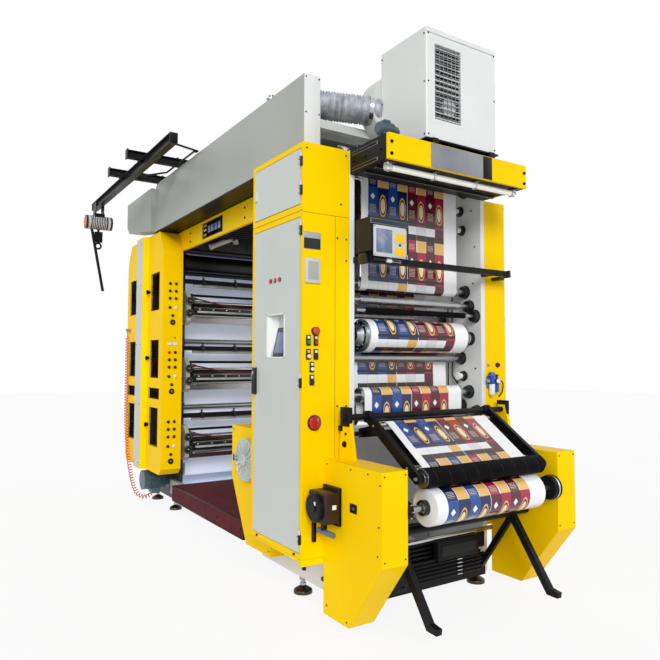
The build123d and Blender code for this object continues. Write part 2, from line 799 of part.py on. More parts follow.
def dryer_chambers():
    """Cross boxes over the web with the front beam and the frame below the panels."""
    half = panel_outer - panel_thickness
    parts = [block(-half, half, panel_front + chamber_setback, panel_back - rail_width,
                   bridge_level + chamber_lift, panel_top - chamber_drop)]
    parts.append(block(-half, half, panel_front, panel_front + front_beam_depth,
                       panel_bottom + front_beam_low, panel_bottom + front_beam_high))
    parts.append(block(-half, half, panel_back, panel_back + tail_length * 0.79,
                       panel_top - tail_drop, panel_top - tail_drop / 2))
    return group(parts)


def dryer_rails():
    """Longitudinal channels that carry the panels on both towers."""
    half = link_outer - link_thickness
    inner = half - rail_width
    rail = block(inner, half, 0, print_middle + print_frame_half_depth, tower_top, panel_bottom)
    shelf = block(inner, panel_outer, panel_front, panel_back, panel_bottom - shelf_thickness, panel_bottom)
    return both_sides(rail + shelf)


def bridge_stops():
    """The rollers under the web in the dryer."""
    radius = bridge_roller_radius
    step = (bridge_entry[0] - bridge_exit[0]) / (bridge_roller_count + 1)
    z = bridge_level - radius
    return [(bridge_entry[0] - step * (i + 1), z, radius) for i in range(bridge_roller_count)]


def link_beams():
    """The yellow beams that tie the two towers together over the platform."""
    x0, x1 = link_outer - link_thickness, link_outer
    start, end = tower_depth, print_middle - link_setback
    outline = [(start, link_bottom), (end - link_slant, link_bottom), (end, link_top), (start, link_top)]
    beam = side_profile(outline, x0, x1)
    z0 = (link_bottom + link_top - screen_height) / 2
    window = block(x1 - screen_recess, x1, screen_start, screen_start + screen_length, z0,
                   z0 + screen_height)
    return both_sides(beam - window)


def print_side_plates():
    """Thick plates with lugs that reach out to the beams and covers."""
    y0, y1 = print_middle - print_frame_half_depth, print_middle + print_frame_half_depth
    outer = print_half + print_plate_thickness
    plate = block(print_half, outer, y0, y1, frame_bottom, tower_top)
    lug = link_lug
    for z in (deck_first - 2.5 * lug, deck_first + deck_pitch, deck_first + 2 * deck_pitch,
              link_bottom - 1.5 * lug):
        for y in (y0 + 0.75 * lug, y1 - 1.75 * lug):
            plate = plate + block(outer, link_outer, y, y + lug, z, z + lug)
    for z in climb_heights():
        plate = plate - rod_x(print_half, outer, print_middle, z, access_hole)
    return both_sides(plate)


def print_cross_ties():
    """Round and square ties between the print side plates."""
    half = print_half
    y0, y1 = print_middle - print_frame_half_depth, print_middle + print_frame_half_depth
    ties = []
    low, high = beam_section * 0.3, tie_spread
    for y in (y0 + low, y1 - low - beam_section):
        ties.append(block(-half, half, y, y + beam_section, frame_bottom, frame_bottom + beam_section))
    for y in (y0 + high, y1 - high - beam_section):
        ties.append(block(-half, half, y, y + beam_section, tower_top - beam_section, tower_top))
    for z in climb_heights():
        for y in (print_middle - tie_spread, print_middle + tie_spread):
            ties.append(rod_x(-half, half, y, z, tie_radius))
    return ties


def cover_outline(side):
    """Side view of a print tower cover: bevelled at the top and, at the back, at the foot."""
    far = print_middle + side * cover_reach
    near = print_middle + side * cover_gap
    bevel = far - side * cover_bevel_depth
    foot = far - side * cover_foot_bevel
    return [(near, cover_bottom), (foot, cover_bottom), (far, cover_bottom + cover_foot_bevel),
            (far, cover_top - cover_bevel_height), (bevel, cover_top), (near, cover_top)]


def window_places(side):
    """Centre, width and height of each window in a cover's outer face."""
    y = print_middle + side * window_offset
    places = [(y, z + window_lift, window_width, window_height) for z in deck_heights()]
    places.append((y, small_window_z, small_window_width, small_window_height))
    return places


def side_cover(side):
    """One yellow cover with its window recesses."""
    cover = side_profile(cover_outline(side), link_outer, cover_outer)
    for y, z, width, height in window_places(side):
        recess = block(cover_outer - window_recess, cover_outer, y - width / 2, y + width / 2,
                       z - height / 2, z + height / 2)
        cover = cover - recess
    return cover


def print_tower_covers():
    """The four yellow covers that stand at the corners of the print tower."""
    covers = [side_cover(side) for side in deck_sides()]
    return group(covers + [mirror(cover, Plane.YZ) for cover in covers])


def dark_panes():
    """Dark panes seated in the covers' recesses, and the displays in the link beams."""
    panes = []
    for side in deck_sides():
        for y, z, width, height in window_places(side):
            pane = block(cover_outer - window_recess, cover_outer - window_recess + pane_thickness,
                         y - width / 2, y + width / 2, z - height / 2, z + height / 2)
            panes += [pane, mirror(pane, Plane.YZ)]
    z0 = (link_bottom + link_top - screen_height) / 2
    screen = block(link_outer - screen_recess, link_outer - screen_recess / 2, screen_start,
                   screen_start + screen_length, z0, z0 + screen_height)
    return group(panes + [screen, mirror(screen, Plane.YZ)])


def cover_posts():
    """The yellow posts between the covers, splayed out to a narrower face."""
    wide, narrow = cover_gap, post_half
    points = [(link_outer, -wide), (cover_outer, -wide), (post_outer, -narrow),
              (post_outer, narrow), (cover_outer, wide), (link_outer, wide)]
    face = make_face(Polyline(*points, close=True))
    post = Pos(0, print_middle, cover_bottom) * extrude(face, cover_top - cover_bottom)
    return both_sides(post)


def post_panels():
    """Grey access panels on the posts."""
    half = post_half - post_panel_inset
    panel = block(post_outer, post_outer + post_panel_stand, print_middle - half, print_middle + half,
                  cover_bottom + post_panel_end, cover_top - post_panel_end)
    return both_sides(panel)


def deck_controls():
    """Push buttons and a ring knob for each deck on the front covers."""
    face = print_middle - cover_reach
    middle = (link_outer + cover_outer) / 2
    parts = []
    for z in deck_heights():
        centre = z + window_lift
        for drop in control_rows:
            for x in (middle - control_spread, middle + control_spread):
                parts.append(front_face_button(x, centre - drop, control_radius, button_length, face))
        lone = centre - lone_control_drop
        parts.append(front_face_button(middle, lone, control_radius, button_length, face))
        parts.append(front_face_button(middle, centre - ring_drop, ring_radius, ring_length, face))
    return parts + [mirror(button, Plane.YZ) for button in parts]


def impression_cylinders():
    """The plain cylinders that carry the web past the plates."""
    return group(roller(impression_axis(side), z, impression_radius, roller_half, print_half,
                        impression_journal)
                 for side in deck_sides() for z in deck_heights())


def plate_cylinders():
    """Plate cylinders with bearer rings at their ends."""
    parts = []
    for side in deck_sides():
        for z in deck_heights():
            y = plate_axis(side)
            end = roller_half - bearer_inset
            body = roller(y, z, plate_radius - bearer_step, end, print_half, plate_journal)
            for x in (-end, end - bearer_width):
                body = body + rod_x(x, x + bearer_width, y, z, plate_radius)
            parts.append(body)
    return group(parts)


def anilox_rollers():
    """The engraved rollers that ink the plates."""
    return group(roller(anilox_axis(side), z - anilox_drop, anilox_radius, roller_half, print_half)
                 for side in deck_sides() for z in deck_heights())


def ink_trays():
    """Open troughs under the anilox rollers, with end walls."""
    trays = []
    for side in deck_sides():
        for z in deck_heights():
            y = anilox_axis(side)
            top, floor = z - tray_top, z - tray_floor
            foot = tray_half * tray_taper
            outer = [(y - tray_half, top), (y - foot, floor), (y + foot, floor),
                     (y + tray_half, top)]
            w = tray_wall
            inner = [(y - tray_half + w, top), (y - foot + w, floor + w),
                     (y + foot - w, floor + w), (y + tray_half - w, top)]
            trough = side_profile(outer, -print_half, print_half)
            trays.append(trough - side_profile(inner, -roller_half - tray_end, roller_half + tray_end))
    return group(trays)


def deck_brackets():
    """Cast brackets that carry each plate cylinder and anilox roller, with two handwheels."""
    parts = []
    for side in deck_sides():
        near = print_middle + side * print_frame_half_depth
        far = anilox_axis(side) + side * casting_reach
        hub = far + side * wheel_stem
        for z in deck_heights():
            low, high = z - casting_half, z + casting_half
            outline = [(near, low), (far - side * casting_toe, low), (far, z - casting_toe_drop),
                       (far, z + casting_brow_lift), (far - side * casting_brow, high), (near, high)]
            casting = side_profile(outline, print_half, print_half + print_plate_thickness)
            x = print_half + print_plate_thickness / 2
            for lift in wheel_lifts:
                y0, y1 = sorted((far, hub))
                casting = casting + rod_y(x, y0, y1, z + lift, wheel_stem_radius)
                y0, y1 = sorted((hub, hub + side * wheel_width))
                casting = casting + rod_y(x, y0, y1, z + lift, wheel_radius)
            parts += [casting, mirror(casting, Plane.YZ)]
    return group(parts)


def deck_bars():
    """The black beam over each deck and the rods between its brackets."""
    parts = []
    for side in deck_sides():
        for z in deck_heights():
            y = anilox_axis(side)
            foot = z + bar_lift
            parts.append(block(-link_outer, link_outer, y - bar_half, y + bar_half, foot, foot + bar_height))
            low_y = y + side * low_rod_shift
            parts.append(rod_x(-print_half, print_half, low_y, z + low_rod_lift, rod_radius))
            parts.append(rod_x(-print_half, print_half, y, z + high_rod_lift, rod_radius))
    return group(parts)


def base_rails():
    """Channels along the floor that tie the towers and carry the platform."""
    x0 = print_half + print_plate_thickness
    rail = block(x0, inner_half, tower_depth - base_rail_overlap, print_middle - print_foot_offset,
                 platform_top - platform_skirt, platform_top - platform_plate)
    return both_sides(rail)


def walkway():
    """The platform: a folded plate with side skirts."""
    half = platform_half
    plate = block(-half, half, platform_front, platform_back, platform_top - platform_plate, platform_top)
    for side in (-1, 1):
        x0, x1 = sorted((side * half, side * (half - platform_plate)))
        plate = plate + block(x0, x1, platform_front, platform_back, platform_top - platform_skirt,
                              platform_top)
    return plate


def main_motor():
    """A finned motor bolted to the print tower's side plate."""
    y, z = print_middle - motor_offset, motor_z
    x = print_half + print_plate_thickness
    motor = rod_x(x, x + motor_fin_pitch, y, z, motor_radius)
    x = x + motor_fin_pitch
    motor = motor + rod_x(x, x + 3 * motor_fin_pitch, y, z, motor_neck)
    x = x + 3 * motor_fin_pitch
    start = x
    for i in range(motor_fin_count):
        motor = motor + rod_x(x, x + motor_fin, y, z, motor_radius)
        motor = motor + rod_x(x + motor_fin, x + motor_fin_pitch, y, z, motor_radius * 0.9)
        x = x + motor_fin_pitch
    motor = motor + rod_x(x, x + motor_radius * 0.5, y, z, motor_radius * 0.95)
    half = motor_radius * 0.54
    box = block(start + half, start + 2.5 * half, y - half, y + half, z - motor_radius * 1.34, z - half)
    return mirror(motor + box, Plane.YZ)


def winder_outline():
    """Side view of a winder box, with its toe cut off on a slant."""
    return [(0, winder_bottom), (-winder_toe, winder_bottom), (-winder_reach, winder_heel),
            (-winder_reach, winder_top), (0, winder_top)]


def winder_boxes():
    """The two yellow boxes with the brackets that hold the press bar."""
    head = arm_pivot_z + bracket_rise
    outline = [(bracket_foot[0], winder_top), (bracket_foot[1], winder_top), (bracket_head[1], head),
               (bracket_head[0], head)]
    bracket = side_profile(outline, bracket_half, bracket_half + bracket_thickness)
    left = side_profile(winder_outline(), -box_outer, -box_inner) + mirror(bracket, Plane.YZ)
    right = side_profile(winder_outline(), drive_box_inner, drive_box_outer) + bracket
    return group([left, right])


def unwinder_boxes():
    """The yellow boxes that hold the unwind shaft's bearings."""
    y0, y1 = tower_depth, tower_depth + unwinder_reach
    outline = [(y0, unwinder_bottom), (y0 + unwinder_toe, unwinder_bottom), (y1, unwinder_heel),
               (y1, unwinder_top), (y0, unwinder_top)]
    box = side_profile(outline, inner_half + plate_thickness, box_outer)
    return both_sides(box)


def unwind_brake():
    """The finned brake disc on the operator's side of the unwinder."""
    x = -box_outer
    inner, outer = x - brake_stand, x - brake_stand - brake_width
    disc = rod_x(inner, x, unwind_y, unwind_z, brake_stand_radius)
    disc = disc + rod_x(outer, inner, unwind_y, unwind_z, brake_radius)
    hub = rod_x(outer - brake_hub_depth, outer, unwind_y, unwind_z, brake_hub_radius)
    for i in range(brake_fins):
        fin = Pos(outer - fin_depth / 2, unwind_y, unwind_z) * Rot(360 / brake_fins * i, 0, 0)
        disc = disc + fin * Pos(0, 0, fin_middle) * Box(fin_depth, fin_thickness, fin_length)
    return disc + hub


def unwind_roll():
    """The roll of film with its core shaft."""
    return roller(unwind_y, unwind_z, unwind_radius, roller_half, inner_half - bearing_depth, core_radius)


def winder_drive():
    """The winder's brake motor with its hand lever, and the shaft chucks inside the boxes."""
    x = -box_outer
    y, z, half = drive_y, drive_z, drive_half
    body = rod_x(x - drive_start, x, y, z, half * 0.67)
    body = body + block(x - drive_end, x - drive_start, y - half, y + half, z - half, z + half)
    body = body + rod_x(x - drive_end * 1.25, x - drive_end, y, z, drive_disc)
    arm = half * 0.27
    lever_x = x - drive_end * 0.75
    lever = block(lever_x, lever_x + arm, y - arm, y, lever_foot, z - half)
    grip = rod_y(lever_x + arm / 2, y - half * 1.3, y, lever_foot, arm * 0.6)
    left = rod_x(-box_inner, -box_inner + chuck_depth, roll_y, roll_z, chuck_radius)
    right = rod_x(drive_box_inner - 1.5 * chuck_depth, drive_box_inner, roll_y, roll_z, 1.5 * chuck_radius)
    return group([body + lever + grip, left, right])


def press_arms():
    """Two swinging arms on a cross bar, with the pins that carry the rubber roller."""
    y, z = rubber_centre()
    dy, dz = y - arm_pivot_y, z - arm_pivot_z
    length = math.hypot(dy, dz)
    tilt = math.degrees(math.atan2(dz, dy))
    bar = rod_x(-bracket_half + running_gap, bracket_half - running_gap, arm_pivot_y, arm_pivot_z,
                arm_bar_radius)
    arms = bar
    for side in (-1, 1):
        x = side * (arm_half - arm_width / 2)
        middle = Pos(x, (y + arm_pivot_y) / 2, (z + arm_pivot_z) / 2) * Rot(tilt, 0, 0)
        arms = arms + middle * Box(arm_width, length, arm_depth)
        arms = arms + rod_x(x - arm_width / 2, x + arm_width / 2, y, z, arm_depth / 2)
        arms = arms + rod_x(x - arm_width / 2, x + arm_width / 2, arm_pivot_y, arm_pivot_z,
                            arm_depth / 2 + pivot_boss)
    return arms


def lay_on_roller():
    """The rubber-covered roller, free to turn between the arms."""
    y, z = rubber_centre()
    half = arm_half - arm_width - running_gap
    return roller(y, z, rubber_radius, rubber_half, half, journal_radius)


def winding_roll():
    """Film wound on its core, with the shaft."""
    film = rod_x(-roller_half, roller_half, roll_y, roll_z, roll_radius)
    core = rod_x(-roller_half - core_stand, roller_half + core_stand, roll_y, roll_z, core_radius)
    shaft = rod_x(-box_inner + chuck_depth + running_gap, drive_box_inner - 1.5 * chuck_depth - running_gap,
                  roll_y, roll_z, shaft_radius)
    return film + core + shaft


def load_arms():
    """The forks that lift a finished roll off, joined by a torque tube."""
    dy, dz = fork_tip_y - fork_y, fork_tip_z - fork_z
    length = math.hypot(dy, dz)
    tilt = math.degrees(math.atan2(dz, dy))
    tube = rod_x(-fork_half, fork_half, fork_y, fork_z, fork_tube_radius)
    arms = tube
    half = fork_depth / 2
    outline = [(-half, -half), (length, -half), (length + fork_hook, -half - fork_hook),
               (length + fork_nose, -half - fork_lip), (length + fork_lip, half), (-half, half)]
    for side in (-1, 1):
        x0, x1 = sorted((side * fork_half, side * (fork_half + fork_width)))
        arm = side_profile(outline, 0, fork_width)
        arms = arms + Pos(x0, fork_y, fork_z) * Rot(tilt, 0, 0) * arm
        arms = arms + rod_x(x0, x1, fork_y, fork_z, fork_boss_radius)
    return arms


def fork_struts():
    """Fixed stays from the toe board to the forks' pivot pins."""
    inner = fork_half + fork_width + running_gap
    dy, dz = strut_foot_y - fork_y, strut_foot_z - fork_z
    length = math.hypot(dy, dz)
    tilt = math.degrees(math.atan2(dz, dy))
    bar = block(inner, inner + strut_width, 0, length + strut_overrun, -strut_half, strut_half)
    bar = Pos(0, fork_y, fork_z) * Rot(tilt, 0, 0) * bar
    bar = bar - block(inner - strut_width, inner + 2 * strut_width, strut_foot_y, strut_foot_y + length,
                      strut_foot_z - length, fork_z)
    right = bar + rod_x(inner, drive_box_inner, fork_y, fork_z, fork_pin_radius)
    left = mirror(bar, Plane.YZ) + rod_x(-box_inner, -inner, fork_y, fork_z, fork_pin_radius)
    return group([left, right])


def web_table():
    """The sloping sheet under the web, its cheeks and the bar that carries it."""
    back, front = table_back[0] - table_lap, table_front[0] + table_lap
    slope = (table_back[1] - table_front[1]) / (table_back[0] - table_front[0])
    z_back = table_back[1] - slope * table_lap
    z_front = table_front[1] + slope * table_lap
    sheet = side_profile([(back, z_back), (front, z_front), (front, z_front - table_sheet),
                          (back, z_back - table_sheet)], -print_half, print_half)
    nose = table_front[0] - cheek_front
    cheek_points = [(nose, table_front[1] - cheek_foot), (nose, table_front[1] + cheek_brow),
                    (table_back[0], table_back[1] + cheek_brow),
                    (cheek_back, table_back[1] - cheek_back_drop),
                    (cheek_back, table_back[1] - cheek_back_foot),
                    (table_back[0], table_back[1] - cheek_waist)]
    table = sheet
    for x0 in (-print_half - cheek_thickness, print_half):
        table = table + side_profile(cheek_points, x0, x0 + cheek_thickness)
    return table + rod_x(-inner_half, inner_half, table_tie_y, table_back[1] - cheek_waist, table_tie_radius)


def guide_rollers():
    """Every guide roller on the web's path."""
    half = inner_half - bearing_depth
    parts = [roller(y, z, radius, roller_half, half) for y, z, radius in tower_stops()[1:]]
    parts.append(roller(*silver_roller, roller_half, half))
    parts.append(roller(*black_roller, roller_half, half, thin_journal))
    parts += [roller(*stop, roller_half, print_half, thin_journal) for stop in (table_back, table_front)]
    wide = panel_outer - panel_thickness
    for y, z, radius in [bridge_exit, bridge_entry] + bridge_stops():
        parts.append(roller(y, z, radius, roller_half, wide))
    for y, z, radius in print_turns():
        parts.append(roller(y, z, radius, roller_half, print_half))
    for side in deck_sides():
        for z in climb_heights():
            parts.append(roller(climb_axis(side), z, pair_roller_radius, roller_half, print_half))
    y, z, radius = platform_turn()
    parts.append(roller(y, z, radius, roller_half, print_half + print_plate_thickness))
    return group(parts)


def platform_turn():
    """Where the web turns below the platform, next to the unwind roll."""
    return unwind_y + unwind_radius + turn_clearance, floor_run + turn_radius, turn_radius


def print_turns():
    """The turning rollers at the top and bottom of the print tower."""
    rear = print_middle + impression_y + impression_radius
    front = print_middle - impression_y - impression_radius
    radius = turn_radius
    return [(rear - radius, floor_run + radius, radius), (rear - radius, turn_high, radius),
            (print_middle + radius, turn_high, radius), (print_middle - radius, turn_low, radius),
            (front + radius, turn_low, radius)]


def chill_drum():
    """The large driven drum, with its hubs."""
    end = web_half + drum_overhang
    body = rod_x(-end, end, main_y, main_z, main_radius)
    for side in (-1, 1):
        x0, x1 = sorted((side * end, side * (end + hub_step)))
        body = body + rod_x(x0, x1, main_y, main_z, main_radius * 0.86)
        cone = Cone(main_radius * 0.7, main_radius * 0.4, hub_cone)
        body = body + Pos(side * (end + hub_step + hub_cone / 2), main_y, main_z) * Rot(
            0, side * 90, 0) * cone
    half = inner_half - bearing_depth - running_gap
    return body + rod_x(-half, half, main_y, main_z, drum_journal)


def touched(stop, turn):
    """A roller as the web's middle layer meets it."""
    y, z, radius = stop
    return y, z, radius + running_gap + web_thickness / 2, turn


def web():
    """One continuous film from the unwind roll through the decks to the rewind roll."""
    turns = print_turns()
    rubber_y, rubber_z = rubber_centre()
    path = [touched((unwind_y, unwind_z, unwind_radius), -1), touched(platform_turn(), 1),
            touched(turns[0], 1)]
    for level, z in enumerate(deck_heights()):
        path.append(touched((impression_axis(1), z, impression_radius), 1))
        if level < deck_count - 1:
            path.append(touched((climb_axis(1), climb_heights()[level], pair_roller_radius), -1))
    path += [touched(turns[1], 1), touched(turns[2], 1), touched(turns[3], -1), touched(turns[4], -1)]
    for level, z in enumerate(deck_heights()):
        path.append(touched((impression_axis(-1), z, impression_radius), -1))
        if level < deck_count - 1:
            path.append(touched((climb_axis(-1), climb_heights()[level], pair_roller_radius), 1))
    path += [touched(bridge_entry, 1), touched(bridge_exit, 1), touched(top_roller, 1),
             touched(turn_roller, 1), touched(back_upper, -1), touched(back_lower, -1),
             touched((main_y, main_z, main_radius), 1), touched(drop_roller, -1),
             touched(dip_roller, -1), touched(tension_roller, 1), touched(under_bar, -1),
             touched(table_back, 1), touched(table_front, 1),
             touched((rubber_y, rubber_z, rubber_radius), -1), touched((roll_y, roll_z, roll_radius), 1)]
    return ribbon(path, -web_half, web_half, web_thickness)


def inspection_rail():
    """The bar across the tower's front that the viewing unit slides on."""
    rail = block(rail_left, rail_right, rail_y - rail_section / 2, rail_y + rail_section / 2,
                 rail_z - rail_section / 2, rail_z + rail_section / 2)
    for side in (-1, 1):
        x = side * (inner_half + plate_thickness / 2)
        x0, x1 = sorted((side * inner_half, side * (inner_half + plate_thickness)))
        x0, x1 = max(x0, rail_left), x1
        rail = rail + block(x0, x1, rail_y, 0, rail_z - rail_section / 2, rail_z + rail_section / 2)
    return rail


def inspection_unit():
    """The viewing unit that slides on the rail."""
    z0 = rail_z + rail_section / 2 + running_gap
    x0, x1 = rail_left, rail_left + unit_width
    y0, y1 = rail_y - unit_depth / 2, rail_y + unit_depth / 2
    body = block(x0, x1, y0, y1, z0 + shoe_height, z0 + unit_height)
    shoe = block(x0 + shoe_inset, x1 - shoe_inset, rail_y - shoe_half, rail_y + shoe_half, z0,
                 z0 + shoe_height)
    jaw = block(x0 + shoe_inset, x1 - shoe_inset, rail_y - shoe_half,
                rail_y - rail_section / 2 - running_gap, z0 - jaw_drop, z0)
    screen = block(x0 + shoe_inset, x1 - unit_screen_right, y0 - unit_screen_stand, y0,
                   z0 + unit_screen_foot, z0 + unit_height - unit_screen_head)
    return body + shoe + jaw + screen


def hoist_frame():
    """Cross arms on the dryer with the I-section rail hung below them."""
    z0, z1 = hoist_arm_bottom, hoist_arm_bottom + hoist_arm_height
    flange, lip = hoist_flange, hoist_cap_lip
    half = hoist_arm_width / 2
    parts = []
    for y in hoist_arm_ys:
        arm = block(-hoist_arm_reach, panel_outer, y - half, y + half, z0, z0 + flange)
        arm = arm + block(-hoist_arm_reach, panel_outer, y - half, y + half, z1 - flange, z1)
        arm = arm + block(-hoist_arm_reach, panel_outer, y - flange / 2, y + flange / 2, z0, z1)
        arm = arm + block(-hoist_arm_reach - hoist_cap, -hoist_arm_reach, y - half - lip, y + half + lip,
                          z0 - lip, z1 + lip)
        parts.append(arm)
    low = z0 - hoist_rail_height
    x, half = hoist_rail_x, hoist_rail_width / 2
    rail = block(x - half, x + half, hoist_rail_front, hoist_rail_back, low, low + flange)
    rail = rail + block(x - half, x + half, hoist_rail_front, hoist_rail_back, z0 - flange, z0)
    rail = rail + block(x - flange / 2, x + flange / 2, hoist_rail_front, hoist_rail_back, low, z0)
    parts.append(rail)
    return group(parts)


def hoist_trolley():
    """Trolley, electric hoist, hook and hanging control arm, which roll along the rail."""
    x, y = hoist_rail_x, hoist_y
    flange = hoist_arm_bottom - hoist_rail_height + hoist_flange
    z = flange - hoist_drum_drop
    body = rod_x(x - hoist_drum_half, x + hoist_drum_half, y, z, hoist_drum_radius)
    cap = z + hoist_drum_radius * 0.7
    plate_foot = z + hoist_drum_radius * 1.06
    half = trolley_body
    body = body + block(x - half, x + half, y - half, y + half, cap, plate_foot + trolley_wheel)
    for side in (-1, 1):
        x0, x1 = sorted((x + side * (trolley_wheel * 2.1), x + side * (trolley_wheel * 2.5)))
        body = body + block(x0, x1, y - trolley_half, y + trolley_half, plate_foot,
                            flange + 2.1 * trolley_wheel)
        for shift in (-trolley_wheel_shift, trolley_wheel_shift):
            w0, w1 = sorted((x + side * trolley_wheel * 0.6, x + side * trolley_wheel * 2.1))
            body = body + rod_x(w0, w1, y + shift, flange + trolley_wheel + running_gap, trolley_wheel)
    block_top = z - hoist_drum_radius * 1.4
    block_foot = block_top - hook_block_height
    body = body + rod_z(x, y, block_top - hook_chain_lap, z - hoist_drum_radius * 0.8, hook_chain)
    body = body + block(x - hook_block_half, x + hook_block_half, y - hook_block_depth, y + hook_block_depth,
                        block_foot, block_top)
    hook = Pos(x, y, block_foot - hook_drop) * Rot(90, 0, 0) * Torus(hook_radius, hook_wire)
    body = body + rod_z(x, y, block_foot - hook_shank_foot, block_foot + hook_shank_top, hook_shank) + hook
    top = Vector(x - hoist_drum_half * 0.6, y, z)
    drop = Vector(pendant_lean, 0, pendant_foot - z)
    arm = Plane(origin=top, z_dir=drop) * Cylinder(pendant_radius, drop.length,
                                                   align=(Align.CENTER, Align.CENTER, Align.MIN))
    return body + arm


def hood_motor():
    """A small motor that stands on the hood's lid."""
    x, y, radius = hood_motor_x, hood_motor_y, hood_motor_radius
    z = tower_top + radius * 1.25
    half = hood_motor_length / 2
    motor = rod_x(x - half, x + half, y, z, radius)
    motor = motor + rod_x(x + half, x + half + radius * 0.6, y, z, radius * 0.75)
    motor = motor + block(x - half * 0.7, x + half * 0.7, y - radius * 0.8, y + radius * 0.8, tower_top, z)
    return motor + rod_x(x - half - hood_motor_cap, x - half, y, z, radius * 0.9)


def run_radii(points):
    """The largest arc that each corner of a hose's route has room for."""
    radii = []
    for a, b, c in zip(points, points[1:], points[2:]):
        before, after = b - a, c - b
        turn = math.radians(before.get_angle(after))
        radii.append(0.45 * min(before.length, after.length) / math.tan(turn / 2))
    return radii


def hose(points, diameter):
    """A tube along straight runs joined by tangent arcs."""
    points = [Vector(*point) for point in points]
    radii = run_radii(points)
    print("hose", diameter, "radii", [round(radius) for radius in radii])
    path = FilletPolyline(*points, radius=radii)
    section = Plane(origin=path @ 0, z_dir=path % 0) * Circle(diameter / 2)
    return sweep(section, path=path)


def air_hose_end():
    """Where the air hose comes up into its elbow on the print side plate."""
    stand, behind, height = air_hose_elbow
    return -print_half - print_plate_thickness - stand, print_middle + behind, height


def air_hose_route():
    """Down the rear cover, under it in a loose loop, and up to the print side plate."""
    x = -cover_outer - air_hose_diameter / 2 - air_hose_offset
    y = print_middle + air_hose_behind
    end = air_hose_end()
    route = [(x + dx, y + dy, z) for dx, dy, z in air_hose_drop]
    return route + [(end[0], end[1], air_hose_rise), end]


def air_hose():
    """The spiral air hose as a tube over its turns."""
    return hose(air_hose_route(), air_hose_diameter)


def ink_hose_route(level):
    """Across a front deck, sagging in front of its rods."""
    y, z = anilox_axis(-1), deck_heights()[level]
    end = print_half - hose_nut
    first, last = ink_hose_run[0], ink_hose_run[-1]
    run = [(x, y - forward, z + lift) for x, forward, lift in ink_hose_run]
    return [(-end, y - first[1], z + first[2])] + run + [(end, y - last[1], z + last[2])]


def ink_hose(level):
    """The ink hose of one front deck."""
    return hose(ink_hose_route(level), ink_hose_diameter)


def hose_fittings():
    """The nuts and elbows that hold the ends of the hoses."""
    parts = []
    for level in range(deck_count):
        for place in (ink_hose_route(level)[0], ink_hose_route(level)[-1]):
            x, y, z = place
            x0, x1 = sorted((x, math.copysign(print_half, x)))
            parts.append(rod_x(x0, x1, y, z, ink_hose_diameter * 0.75))
    x, y, z = air_hose_route()[0]
    width = air_hose_diameter * 0.35
    parts.append(block(x - width, -cover_outer, y - width, y + width, z, z + 2 * width))
    x, y, z = air_hose_end()
    face = -print_half - print_plate_thickness
    parts.append(block(x - width, face, y - width, y + width, z, z + 2 * width))
    return group(parts)


# Every sub-part with the function that makes it
parts_list = {
    "tower_side_plates": tower_side_plates,
    "frame_cross_members": frame_cross_members,
    "toe_board": toe_board,
    "levelling_feet": levelling_feet,
    "right_column_cover": right_column_cover,
    "cabinet_body": cabinet_body,
    "lower_cabinet_door": lower_door,
    "upper_cabinet_door": upper_door,
    "door_lamps": door_lamps,
    "push_buttons": push_buttons,
    "hood_frame": hood_frame,
    "hood_front_panel": hood_front_panel,
    "hood_lamp": hood_lamp,
    "blower_housing": blower_housing,
    "vent_grille": vent_grille,
    "blower_scroll": blower_scroll,
    "flexible_duct": flexible_duct,
    "dryer_side_panels": dryer_side_panels,
    "dryer_chambers": dryer_chambers,
    "dryer_rails": dryer_rails,
    "link_beams": link_beams,
    "print_side_plates": print_side_plates,
    "print_tower_covers": print_tower_covers,
    "dark_panes": dark_panes,
    "cover_posts": cover_posts,
    "post_panels": post_panels,
    "impression_cylinders": impression_cylinders,
    "plate_cylinders": plate_cylinders,
    "anilox_rollers": anilox_rollers,
    "ink_trays": ink_trays,
    "deck_brackets": deck_brackets,
    "deck_bars": deck_bars,
    "base_rails": base_rails,
    "walkway": walkway,
    "main_motor": main_motor,
    "winder_boxes": winder_boxes,
    "winder_drive": winder_drive,
    "press_arms": press_arms,
    "lay_on_roller": lay_on_roller,
    "winding_roll": winding_roll,
    "load_arms": load_arms,
    "fork_struts": fork_struts,
    "unwinder_boxes": unwinder_boxes,
    "unwind_brake": unwind_brake,
    "unwind_roll": unwind_roll,
    "web_table": web_table,
    "guide_rollers": guide_rollers,
    "chill_drum": chill_drum,
    "web": web,
    "inspection_rail": inspection_rail,
    "inspection_unit": inspection_unit,
    "hoist_frame": hoist_frame,
    "hoist_trolley": hoist_trolley,
    "hood_motor": hood_motor,
    "hose_fittings": hose_fittings,
    "air_hose": air_hose,
    "ink_hose_lower": lambda: ink_hose(0),
    "ink_hose_middle": lambda: ink_hose(1),
    "ink_hose_upper": lambda: ink_hose(2),
}

os.makedirs("parts", exist_ok=True)
made = {name: make() for name, make in parts_list.items()}
corners = [part.bounding_box() for part in made.values()]
centre_x = (min(c.min.X for c in corners) + max(c.max.X for c in corners)) / 2
centre_y = (min(c.min.Y for c in corners) + max(c.max.Y for c in corners)) / 2
for name, part in made.items():
    solids = (Pos(-centre_x, -centre_y, 0) * part).solids()
    shape = solids[0] if len(solids) == 1 else Compound(children=list(solids))
    export_step(shape, f"parts/{name}.step")
print("origin moved by", round(centre_x, 3), round(centre_y, 3))
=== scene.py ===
"""Finishes, printed film, small fittings and studio for the flexographic printing press."""
import math
from itertools import product

import bmesh
import bpy
from mathutils import Matrix, Vector


